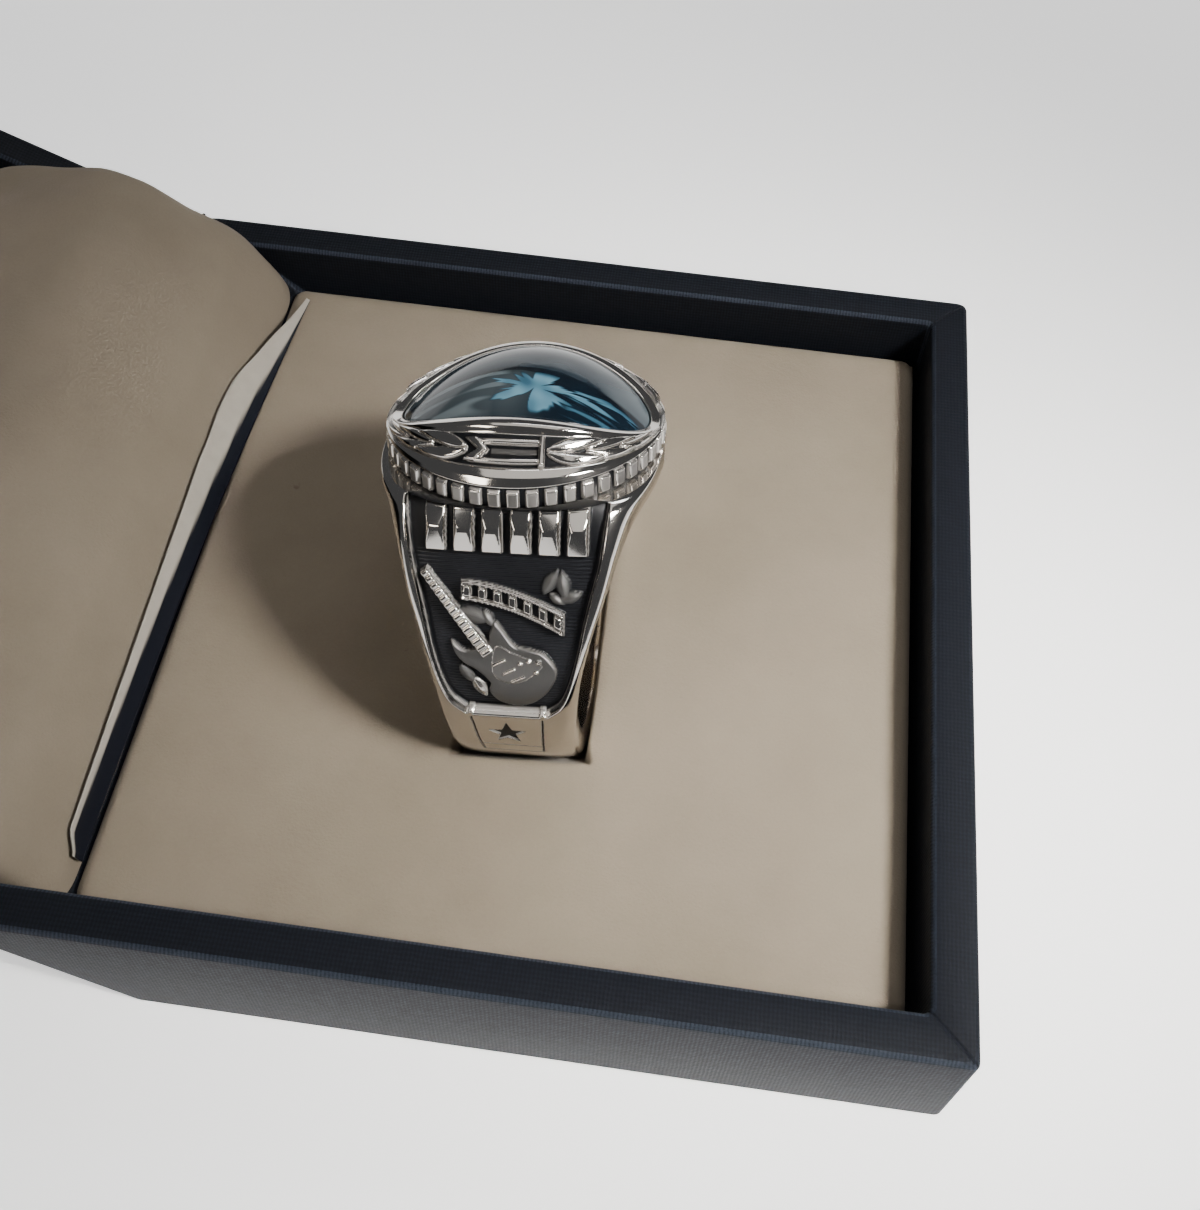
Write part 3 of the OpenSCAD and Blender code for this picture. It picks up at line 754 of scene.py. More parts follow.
@dataclass
class Band(RingPart):
    """The shank and the shoulders: sections across a path from the border down to the bottom.

    The tables way, wide, edge and square give, by the share of the way down, the width over the
    shank's, the thickness over the shank's and the exponent of the section.
    """

    finger_r: float = 9.6
    shank_t: float = 2.14
    shank_half: float = 4.2
    edge_t: float = 0.7
    side_r: float = 0.28
    panel_half: float = 6.08
    panel_len: float = 13.81
    panel_depth: float = 0.774
    block_count: int = 6
    block_pitch: float = 1.72
    block_half: float = 0.71
    seam: float = 21.5
    way: list[float] = field(default_factory=lambda: [0.0, 0.02, 0.05, 0.1, 0.187, 0.286, 0.432, 0.58, 1.0])
    wide: list[float] = field(default_factory=lambda: [1.0, 0.80, 0.66, 0.54, 0.39, 0.22, 0.06, 0.0, 0.0])
    edge: list[float] = field(default_factory=lambda: [1.0, 1.9, 2.1, 1.9, 1.4, 0.9, 0.3, 0.0, 0.0])
    square: list[float] = field(default_factory=lambda: [2.6, 3.0, 3.6, 4.5, 5.0, 5.0, 5.0, 5.0, 5.0])

    def __post_init__(self) -> None:
        """Work out the path: straight down the shoulder, then round the shank."""
        self.shank_r = self.finger_r + self.shank_t
        reach = math.hypot(self.b, self.border_z)
        self.tilt = math.atan2(self.border_z, self.b) - math.acos(self.shank_r / reach)
        self.straight = math.sqrt(reach ** 2 - self.shank_r ** 2)
        self.path = self.straight + self.shank_r * (self.tilt + math.pi / 2)

    def sections(self, v: np.ndarray, turn: np.ndarray, height: np.ndarray | None = None) -> np.ndarray:
        """Outside of the band.

        A section is a superellipse: x = w sin(a) / m and depth = d (1 - cos(a) / m), where
        m = (|sin a|^n + |cos a|^n)^(1/n), laid inwards from the path's point of v.

        Args:
            v: Distance down the path, one for each row.
            turn: Angle a across the band, one for each column.
            height: Raised work by row and column.

        Returns:
            Points by row, column and axis, in the ring's axes.
        """
        share = v / self.path
        half = self.shank_half + (self.a - self.shank_half) * smooth_column(self.way, self.wide, share)
        n = smooth_column(self.way, self.square, share)[:, None]
        m = (np.abs(np.sin(turn))[None] ** n + np.abs(np.cos(turn))[None] ** n) ** (1 / n)
        angle = self.tilt - (v - self.straight) / self.shank_r
        foot = self.shank_r * np.array([-math.cos(self.tilt), math.sin(self.tilt)])
        s = np.clip(v / self.straight, 0, 1)
        down = v < self.straight
        py = np.where(down, -self.b + (foot[0] + self.b) * s, -self.shank_r * np.cos(angle))
        pz = np.where(down, self.border_z + (foot[1] - self.border_z) * s, self.shank_r * np.sin(angle))
        rise0 = math.atan2(self.border_rise, self.b)
        lean = np.where(down, rise0 + (-self.tilt - rise0) * s, -angle)
        scale = self.border_z - self.finger_r - self.edge_t
        r = self.finger_r + self.edge_t + scale * smooth_column(self.way, self.edge, share)
        cy, cz = np.cos(lean), np.sin(lean)
        along = py * cy + pz * cz
        exact = -along - np.sqrt(np.maximum(0.0, along ** 2 - (py ** 2 + pz ** 2 - r ** 2)))
        level = -py - np.sqrt(np.maximum(0.0, r ** 2 - pz ** 2))
        drop = level + (exact - level) * ramp(v, 1.0, 5.0)
        depth = drop[:, None] * (1 - np.cos(turn)[None] / m)
        if height is not None:
            depth = depth - height
        x = half[:, None] * np.sin(turn)[None] / m
        return np.stack([x, py[:, None] + depth * cy[:, None], pz[:, None] + depth * cz[:, None]], -1)

    def turns(self, count: int) -> np.ndarray:
        """Angles across the band that give even steps along a section.

        Args:
            count: Number of columns.

        Returns:
            The angles, from minus to plus a quarter turn.
        """
        square, half, drop = 5, 5.0, 1.3
        a = np.linspace(-np.pi / 2, np.pi / 2, 6001)
        m = (np.abs(np.sin(a)) ** square + np.abs(np.cos(a)) ** square) ** (1 / square)
        run = run_length(np.stack([half * np.sin(a) / m, drop * np.cos(a) / m], 1))
        return np.interp(np.linspace(0, run[-1], count), run, a)

    def bore(self, crown: np.ndarray, steps: int = 15) -> np.ndarray:
        """Rounded sides and finger hole that close each section.

        Args:
            crown: The sections' outside points.
            steps: Points across the finger hole.

        Returns:
            Points by row, from the end of the crown round to its start.
        """
        last = crown[:, -1]
        angle = np.arctan2(last[:, 2], -last[:, 1])[:, None]
        half = last[:, 0][:, None]
        curve = np.radians(np.array([90.0, 67.5, 45.0, 22.5, 0.0]))
        lip = self.side_r
        x = np.concatenate([
            half - lip + lip * np.sin(curve)[None],
            (half - lip) * np.linspace(1, -1, steps + 2)[None, 1:-1],
            -half + lip - lip * np.sin(curve[::-1])[None],
        ], 1)
        rounding = lip * (1 - np.cos(curve))
        out = np.concatenate([rounding, np.zeros(steps), rounding[::-1]])[None]
        r = self.finger_r + out
        return np.stack([x, -r * np.cos(angle), r * np.sin(angle)], -1)

    def panel_outline(self) -> np.ndarray:
        """Outline of the sunk panel, from its table of half widths by the share of the way down.

        Returns:
            The points of the outline, one row each.
        """
        down = [0.0, 0.11, 0.25, 0.38, 0.5, 0.65, 0.78, 0.86, 0.94, 1.0]
        wide = [1.01, 0.98, 0.94, 0.87, 0.81, 0.75, 0.685, 0.635, 0.56, 0.42]
        t = np.linspace(0, 1, 40)
        half = self.panel_half * smooth_column(down, wide, t)
        v = self.panel_len * t
        v[0] = -1.0
        return np.concatenate([np.stack([half, v], 1), np.stack([-half, v], 1)[::-1]])

    def base_relief(self, x: np.ndarray, v: np.ndarray) -> Relief:
        """Sunk panel with its row of pointed blocks under the border.

        Args:
            x: Place across the band.
            v: Place down it.

        Returns:
            The relief so far.
        """
        work = Relief(x, v, np.zeros(x.shape), np.zeros(x.shape), np.zeros(x.shape))
        work.sink(self.panel_outline(), self.panel_depth, 0.30)
        head, foot, high = 0.1, 3.0, -0.36
        for i in range(self.block_count):
            mid = self.block_pitch * (i - 2.5) + 0.1
            left, right = mid - self.block_half, mid + self.block_half
            across = 1 - np.abs(x - mid) / self.block_half
            down = np.minimum((v - 0.35) / 0.9, (foot - v) / 1.5)
            top = high + 0.34 * np.clip(np.minimum(across * 1.9, down), 0, 1)
            outline = np.array([[left, head], [right, head], [right, foot], [left, foot]])
            work.raise_to(outline, top, -self.panel_depth, 0.16)
        return work

    def plaque(self, work: Relief) -> None:
        """Raised lip, star and thin lines of the plaque at the foot of a shoulder.

        Args:
            work: The relief that they are laid on.
        """
        lip_v, foot_v, groove = 13.95, 18.9, 0.15
        work.raise_to(bar((-2.3, lip_v), (2.3, lip_v), 0.42), 0.11, 0.0, 0.12)
        for side in (-1, 1):
            work.raise_to(bar((side * 2.28, 13.6), (side * 2.25, 14.6), 0.34), 0.10, 0.0, 0.1)
            work.line(bar((side * 2.28, 14.1), (side * 1.95, foot_v), groove), 0.16)
        work.line(bar((-1.85, 17.65), (1.9, 17.75), 0.09), 0.08)
        work.line(bar((-1.95, foot_v), (1.95, foot_v), groove), 0.14)
        work.line(star(-0.1, 15.95, 1.25), 0.16)

    def small_leaves(self, work: Relief) -> None:
        """Leaves on the panel's floor: pointed at both ends, and highest along the middle.

        Args:
            work: The relief that they are laid on.
        """
        floor = -self.panel_depth
        # place across, place down, length, turn in degrees, how matte
        leaves = [(2.75, 4.6, 1.9, -62, 1), (3.55, 4.75, 1.9, -100, 1), (4.0, 5.45, 1.7, -18, 1),
                  (3.2, 5.6, 1.3, 30, 1), (-1.9, 6.85, 2.4, 18, 1), (-1.0, 7.0, 1.4, 60, 1),
                  (-2.35, 10.95, 1.9, 55, 1), (-1.6, 11.95, 2.0, 64, 0.2)]
        for mx, mv, long, turn, matte in leaves:
            a = math.radians(turn)
            dx, dv = work.x - mx, work.v - mv
            along = (dx * math.cos(a) + dv * math.sin(a)) / (long / 2)
            across = np.abs(-dx * math.sin(a) + dv * math.cos(a)) / (long * 0.26)
            inside = 1 - np.abs(along) ** 1.6 - across
            top = floor + 0.16 + 0.26 * np.clip(1 - across, 0, 1) * np.clip(1 - along ** 2, 0, 1)
            work.lift(floor + (top - floor) * ramp(inside, 0.0, 0.16), inside, matte)

    def ribbon(self, work: Relief) -> None:
        """Arched ribbon with a raised rim and a row of plain beads.

        Its middle line is a parabola in the share of the way from its left end to its right.

        Args:
            work: The relief that it is laid on.
        """
        floor, half, beads = -self.panel_depth, 0.69, 7
        left, right, long = -2.745, 3.755, 6.5
        share = (work.x - left) / long
        mid = 5.25 + 0.35 * share + 1.65 * share ** 2
        slope = (0.35 + 3.3 * share) / long
        off = (work.v - mid) / np.sqrt(1 + slope ** 2)
        gone = np.minimum(np.minimum(work.x - left, right - work.x), half - np.abs(off))
        rim = ramp(gone, 0.0, 0.16) * (1 - ramp(gone, 0.2, 0.34))
        apart = np.abs(np.mod(share * beads, 1.0) - 0.5)
        bead = ramp(0.30 - apart, 0.0, 0.12) * ramp(0.40 - np.abs(off), 0.0, 0.12) * ramp(gone, 0.2, 0.3)
        low = floor + 0.14
        top = np.maximum(low + (-0.2 - low) * rim, low + (-0.22 - low) * bead)
        work.lift(floor + (top - floor) * ramp(gone, -0.02, 0.18), gone, 0.0, 0.3)

    def guitar(self, work: Relief) -> None:
        """Guitar: sanded body, guard, fretted neck, three bars and four knobs.

        Args:
            work: The relief that it is laid on.
        """
        floor = -self.panel_depth
        body = rounded_outline([
            (-0.6, 7.1), (0.0, 7.7), (0.7, 8.6), (1.7, 8.8), (2.6, 9.2), (3.3, 10.4), (2.9, 11.8),
            (2.0, 12.9), (0.9, 13.4), (-0.4, 13.1), (-1.1, 12.2), (-1.0, 11.5), (-1.8, 10.6),
            (-2.5, 10.2), (-3.1, 9.5), (-3.4, 8.4), (-2.6, 9.0), (-2.1, 9.0), (-1.1, 8.5), (-0.95, 7.8)])
        work.raise_to(body, -0.36 + 0.08 * work.share(body, 0.0, 0.8), floor, 0.16, matte=1.0)
        guard = rounded_outline([(-0.5, 8.7), (0.6, 9.1), (1.7, 9.5), (2.4, 9.9), (1.9, 10.5), (1.2, 11.1),
                                 (0.2, 11.3), (-0.7, 10.6)])
        work.raise_to(guard, -0.245, floor + 0.5, 0.06, matte=0.9)
        heel, tip, frets = np.array([-0.9, 9.35]), np.array([-4.998, 4.077]), 14
        long = float(np.linalg.norm(tip - heel))
        way = (tip - heel) / np.linalg.norm(tip - heel)
        along = (work.x - heel[0]) * way[0] + (work.v - heel[1]) * way[1]
        fret = np.abs(np.mod(along * frets / long, 1.0) - 0.5)
        neck = bar(tuple(heel), tuple(tip), 0.92, 0.6)
        work.raise_to(neck, -0.12 - 0.07 * ramp(fret, 0.22, 0.36), floor, 0.1, matte=0.25)
        for x, v in ((-0.3, 9.8), (0.3, 10.4), (0.85, 10.95)):
            work.raise_to(bar((x - 0.46, v + 0.26), (x + 0.46, v - 0.26), 0.3), -0.1, floor + 0.4, 0.1)
        knob_r, shine_r = 0.19, 0.17
        for x, v in ((1.0, 9.8), (1.55, 9.62), (2.15, 9.65), (2.0, 10.35)):
            near = np.hypot(work.x - x, work.v - v)
            dome = -0.32 + 0.24 * np.sqrt(np.clip(1 - (near / knob_r) ** 2, 0, 1))
            work.matte = np.where(near < shine_r, 0.0, work.matte)
            work.height = np.where(near < knob_r, np.maximum(work.height, dome), work.height)

    def front_relief(self, x: np.ndarray, v: np.ndarray) -> Relief:
        """Leaves, ribbon and guitar in the front panel, and the plaque under it.

        Args:
            x: Place across the band.
            v: Place down it.

        Returns:
            The relief.
        """
        work = self.base_relief(x, v)
        for lay in (self.small_leaves, self.ribbon, self.guitar, self.plaque):
            lay(work)
        return work

    def back_relief(self, x: np.ndarray, v: np.ndarray) -> Relief:
        """A star in a rounded shield in the back panel, and the plaque under it.

        Args:
            x: Place across the band.
            v: Place down it.

        Returns:
            The relief.
        """
        work = self.base_relief(x, v)
        floor = -self.panel_depth
        shield = rounded_outline([(-3.0, 5.2), (0.0, 4.9), (3.0, 5.2), (3.1, 8.0), (2.2, 10.6), (0.0, 12.4),
                                  (-2.2, 10.6), (-3.1, 8.0)])
        work.raise_to(shield, -0.36 - 0.14 * work.share(shield, 0.28, 0.36), floor, 0.12, matte=1.0)
        figure = star(0.0, 8.3, 2.1)
        work.raise_to(figure, -0.30 + 0.14 * work.share(figure, 0.0, 0.5), floor + 0.2, 0.1)
        self.plaque(work)
        return work

    def shoulder(self, side: Side) -> bpy.types.Object:
        """One shoulder, from under the head down to the seam below it.

        Its rows lie closest under the head, where the surface bends most. Points of the first row that
        lie near the ring's middle plane are put just past it, so that the two shoulders close there.

        Args:
            side: Which of the two.

        Returns:
            The piece.
        """
        front = side is Side.FRONT
        near, turn = (np.arange(30) / 30) ** 2, self.turns(246)
        v = np.concatenate([near, np.linspace(1.0, self.seam, 316)])
        plain = self.sections(v, turn)
        grid_v = np.broadcast_to(v[:, None], plain.shape[:2])
        work = (self.front_relief if front else self.back_relief)(plain[..., 0], grid_v)
        crown = self.sections(v, turn, work.height * ramp(grid_v, 0.0, 0.12))
        low = self.bore(plain)
        rings = np.concatenate([crown, low], 1)
        rings[0, :, 1] = np.where(rings[0, :, 1] > -0.1, 0.02, rings[0, :, 1])
        rings[..., :2] *= side.value
        deep = ramp(-work.height, 0.40, 0.62)
        away = ramp(inside_depth(self.panel_outline(), plain[..., 0], grid_v), 0.25, 0.45)
        rib = deep * ramp(-work.height, 0.66, 0.76) * ramp(v, 2.9, 3.2)[:, None] * away
        pad = np.zeros(low.shape[:2])
        fields = {"dark": np.maximum(work.dark, deep), "matte": work.matte, "rib": rib}
        fields = {key: np.concatenate([values, pad], 1) for key, values in fields.items()}
        uv = np.stack([rings[..., 0], np.broadcast_to(v[:, None], rings.shape[:2])], -1)
        return closed_loft("ring_front" if front else "ring_back", self.ring.place(rings), fields, uv)

    def bottom(self) -> bpy.types.Object:
        """The bottom of the shank, between the two seams: one half, and its mirror image behind.

        Returns:
            The piece.
        """
        v, turn = np.linspace(self.seam, self.path, 48), self.turns(90)
        crown = self.sections(v, turn)
        half = np.concatenate([crown, self.bore(crown)], 1)
        back = half[-2::-1].copy()
        back[..., 1] *= -1
        rings = np.concatenate([half, back])
        none = np.zeros(rings.shape[:2])
        uv = np.stack([rings[..., 0], rings[..., 1]], -1)
        fields = {"dark": none, "matte": none, "rib": none}
        return closed_loft("ring_bottom", self.ring.place(rings), fields, uv)


@dataclass
class Head(RingPart):
    """The oval head: milled border, ledge, sloping band with leaves, lip and the stone's seat."""

    border_h: float = 1.291
    border_out: float = 0.312
    blocks: int = 48
    lip_w: float = 0.5
    gap: float = 0.08
    leaf_h: float = 0.355
    leaf_long: float = 15.23
    leaf_lap: float = 1.65
    tie_half: float = 17.32
    tie_lap: float = 1.5
    spray_end: float = 26.0
    columns: int = 1040

    def oval(self, t: np.ndarray, a: float, b: float, z: float, rise: float) -> np.ndarray:
        """A level oval whose height rises by rise times the square of the cosine at its two ends."""
        c = np.cos(t)
        return np.stack([a * c, b * np.sin(t), z + rise * c * c], -1)

    def band_row(self, t: np.ndarray, out: float, up: float) -> np.ndarray:
        """A ring between the border and the lip, straight between the two by its shares.

        Args:
            t: Angle of each column.
            out: Share of the way out from the lip to the border.
            up: Share of the way up from the border to the lip.

        Returns:
            The ring's points.
        """
        c = np.cos(t)
        foot = self.border_z + self.border_h + self.border_rise * c * c
        z = foot + (self.lip_z - self.lip_arch * c * c - foot) * up
        la, lb = self.stone_a + self.gap + self.lip_w, self.stone_b + self.gap + self.lip_w
        return np.stack([(la + (self.a - la) * out) * c, (lb + (self.b - lb) * out) * np.sin(t), z], -1)

    def leaf(self, deg: np.ndarray, q: np.ndarray, height: np.ndarray, base: Pair, tip: Pair,
             wide: float) -> np.ndarray:
        """Lay one creased leaf on the slope.

        Its half width at share s of its length is wide sin(pi s^0.85)^0.75, and it falls from its
        midrib to its edges.

        Args:
            deg: Angle of each place, in degrees.
            q: Share of the way up the slope.
            height: Raised work so far.
            base: Angle and share up the slope of its base.
            tip: Angle and share up the slope of its tip.
            wide: Half width, as a share of the slope.

        Returns:
            The raised work with the leaf.
        """
        (t0, q0), (t1, q1) = base, tip
        s = (deg - t0) / (t1 - t0)
        inside = np.clip(s, 0.0, 1.0)
        half = wide * np.sin(np.pi * inside ** 0.85) ** 0.75 + 1e-6
        mid = q0 + (q1 - q0) * inside + 0.05 * np.sin(np.pi * inside) * np.sign(q1 - 0.5)
        across = np.abs(q - mid) / half
        level = self.leaf_h * (0.5 + 0.25 * inside + 0.45 * (1 - across))
        now = level * ramp(1 - across, 0.0, 0.4) * ((s > 0) & (s < 1))
        covers = (across < 1) & (s > 0) & (s < 1)
        return np.where(covers, np.maximum(now, height * 0.25), height)

    def slope_work(self, deg: np.ndarray, q: np.ndarray) -> np.ndarray:
        """Leaves, ribbon ties and their posts on the sloping band, as height in millimetres.

        Args:
            deg: Angle of each place, in degrees from -180 to 180.
            q: Share of the way from the ledge to the lip.

        Returns:
            The height of each place.
        """
        mm, up = 0.16, 2.3  # millimetres to a degree, and from the ledge to the lip
        ties = [(bar((-12.5 * mm, q0 * up), (13 * mm, q0 * up), 0.42), 0.34) for q0 in (0.2, 0.74)]
        ties.append((bar((-6.5 * mm, 0.47 * up), (12.6 * mm, 0.47 * up), 0.55), 0.1))
        post = np.array([[12.6 * mm, 0.05], [15.4 * mm, 0.05], [15.0 * mm, 2.2], [12.8 * mm, 2.2]])
        ties.append((post, 0.46))
        tail = np.array([[-18, 0.14], [-12, 0.12], [-6.5, 0.5], [-12, 0.86], [-18, 0.84], [-11.5, 0.5]])
        ties.append((tail * [mm, up], 0.36))
        starts = np.linspace(self.tie_half - self.tie_lap, 90 - self.spray_end, 4)[:3]
        reach = self.leaf_long * self.leaf_lap
        height = np.zeros(deg.shape)
        for side in (0.0, 180.0):
            at = np.mod(deg + 90.0 - side + 180.0, 360.0) - 180.0
            for way in (-1, 1):
                for start in starts[::-1]:
                    for half in (-1, 1):
                        base = (way * start, 0.5 + half * 0.05)
                        tip = (way * (start + reach), 0.5 + half * 0.37)
                        height = self.leaf(at, q, height, base, tip, 0.27)
            for outline, top in ties:
                inside = inside_depth(outline, at * mm, q * up)
                height = np.where(inside > 0, np.maximum(height, top * ramp(inside, 0.0, 0.1)), height)
        return height

    def border(self, t: np.ndarray) -> tuple[list[np.ndarray], list[np.ndarray]]:
        """Rings of the milled border: blocks pushed out from a wall, with blackened gaps between them.

        Args:
            t: Angle of each column.

        Returns:
            The rings from the bottom up, and how black each of their points is.
        """
        sunk = self.border_out + 0.12
        rows = [self.oval(t, self.a - sunk, self.b - sunk, self.border_z - 0.5, self.border_rise)]
        dark = [np.ones(t.shape)]
        wall_a, wall_b = self.a - self.border_out, self.b - self.border_out
        pitch = math.pi * (self.a + self.b) / self.blocks
        step = 360.0 / self.blocks
        off = np.abs(np.mod(np.degrees(t), step) - step / 2) / step * pitch
        foot = pitch * 0.37
        block, inward = ramp(foot - off, 0.0, 0.10), ramp(foot - off, 0.12, 0.2)
        normal = np.stack([wall_b * np.cos(t), wall_a * np.sin(t), 0 * t], -1)
        normal /= np.linalg.norm(normal, axis=1)[:, None]
        for z in np.concatenate([[-0.1], np.linspace(0.0, self.border_h - 0.12, 17), [self.border_h - 0.02]]):
            rise = ramp(z, -0.02, 0.12) * (1 - ramp(z, self.border_h - 0.22, self.border_h - 0.1))
            flat = ramp(z, 0.1, 0.2) * (1 - ramp(z, self.border_h - 0.32, self.border_h - 0.24))
            push = self.border_out * block * rise + 0.035 * inward * flat
            wall = self.oval(t, wall_a, wall_b, self.border_z + z, self.border_rise)
            rows.append(wall + normal * push[:, None])
            dark.append(1.0 - ramp(push, 0.12, 0.25) * (0.95 - (0.72 + 0.12 * np.sin(7 * t)) * inward * flat))
        return rows, dark

    def slope(self, t: np.ndarray) -> tuple[list[np.ndarray], list[np.ndarray]]:
        """Rings from the ledge up the slope and over the lip, with the slope's work raised on them.

        Args:
            t: Angle of each column.

        Returns:
            The rings from the ledge to the lip, and how black each of their points is.
        """
        # shares of the way out and up at the corners of the profile, and the steps between them
        knots = np.array([[0.93, 0.0], [0.965, 0.02], [0.95, 0.06], [0.89, 0.21], [0.78, 0.33], [0.72, 0.34],
                          [0.69, 0.29], [0.16, 0.80], [0.13, 0.93], [0.09, 0.99], [0.05, 1.0]])
        counts = [2, 2, 5, 5, 3, 3, 34, 3, 3, 3]
        worked = counts.index(max(counts))
        foot, top = knots[worked, 0], knots[worked + 1, 0]
        path, zone = [], []
        for i, n in enumerate(counts):
            path.append(knots[i] + (knots[i + 1] - knots[i]) * (np.arange(n)[:, None] / n))
            zone += [i == worked] * n
        path = np.concatenate(path + [knots[-1:]])
        zone = np.array(zone + [False])
        rounded = path.copy()
        rounded[1:-1] = (path[:-2] + 2 * path[1:-1] + path[2:]) / 4
        body = np.stack([self.band_row(t, out, up) for out, up in rounded])
        ahead = np.roll(body, -1, axis=1) - np.roll(body, 1, axis=1)
        normal = np.cross(ahead, np.gradient(body, axis=0))
        normal /= np.maximum(np.linalg.norm(normal, axis=2), 1e-9)[..., None]
        q = np.where(zone, (path[:, 0] - foot) / (top - foot), -1.0)
        grid_q = np.broadcast_to(q[:, None], body.shape[:2])
        grid_t = np.broadcast_to(np.degrees(t)[None], body.shape[:2])
        ends = ramp(90.0 - np.abs(90.0 - np.abs(grid_t)), 5.0, 26.0)
        work = self.slope_work(grid_t, grid_q) * (grid_q >= 0) * ends
        work = work * ramp(grid_q, 0.0, 0.06) * ramp(1 - grid_q, 0.0, 0.06)
        black = (1 - ramp(work, 0.08, 0.2)) * ramp(grid_q, 0.0, 0.04) * ends
        return list(body + normal * work[..., None]), list(np.maximum(black, 0.0))

    def seat(self, t: np.ndarray) -> tuple[list[np.ndarray], list[np.ndarray]]:
        """Rings from the lip down into the stone's seat, which is black.

        Args:
            t: Angle of each column.

        Returns:
            The rings from the lip down, and how black each of their points is.
        """
        a, b = self.stone_a + self.gap, self.stone_b + self.gap
        # wider than the seat by, height over the lip, how black
        table = ((0.1, 0.02, 0), (0.02, 0.0, 0.2), (0.0, -0.1, 1), (0.0, -0.58, 1), (-0.78, -1.28, 1))
        rows = [self.oval(t, a + wider, b + wider, self.lip_z + up, -self.lip_arch) for wider, up, _ in table]
        share, floor_z = 0.45, self.lip_z - 2.56
        rows.append(self.oval(t, self.stone_a * share, self.stone_b * share, floor_z, -self.lip_arch * 0.2))
        return rows, [np.full(t.shape, float(black)) for _, _, black in table] + [np.ones(t.shape)]

    def build(self) -> bpy.types.Object:
        """Stack the head's rings from under the border up to the lip and down into the seat.

        Returns:
            The piece.
        """
        t = np.linspace(-np.pi, np.pi, self.columns, endpoint=False) + np.pi / self.columns
        rows: list[np.ndarray] = []
        dark: list[np.ndarray] = []
        for part in (self.border, self.slope, self.seat):
            part_rows, part_dark = part(t)
            rows += part_rows
            dark += part_dark
        rings, black = np.stack(rows), np.stack(dark)
        none = np.zeros(black.shape)
        uv = np.stack([rings[..., 0], rings[..., 2]], -1)
        fields = {"dark": black, "matte": none, "rib": none}
        return closed_loft("ring_head", self.ring.place(rings), fields, uv)


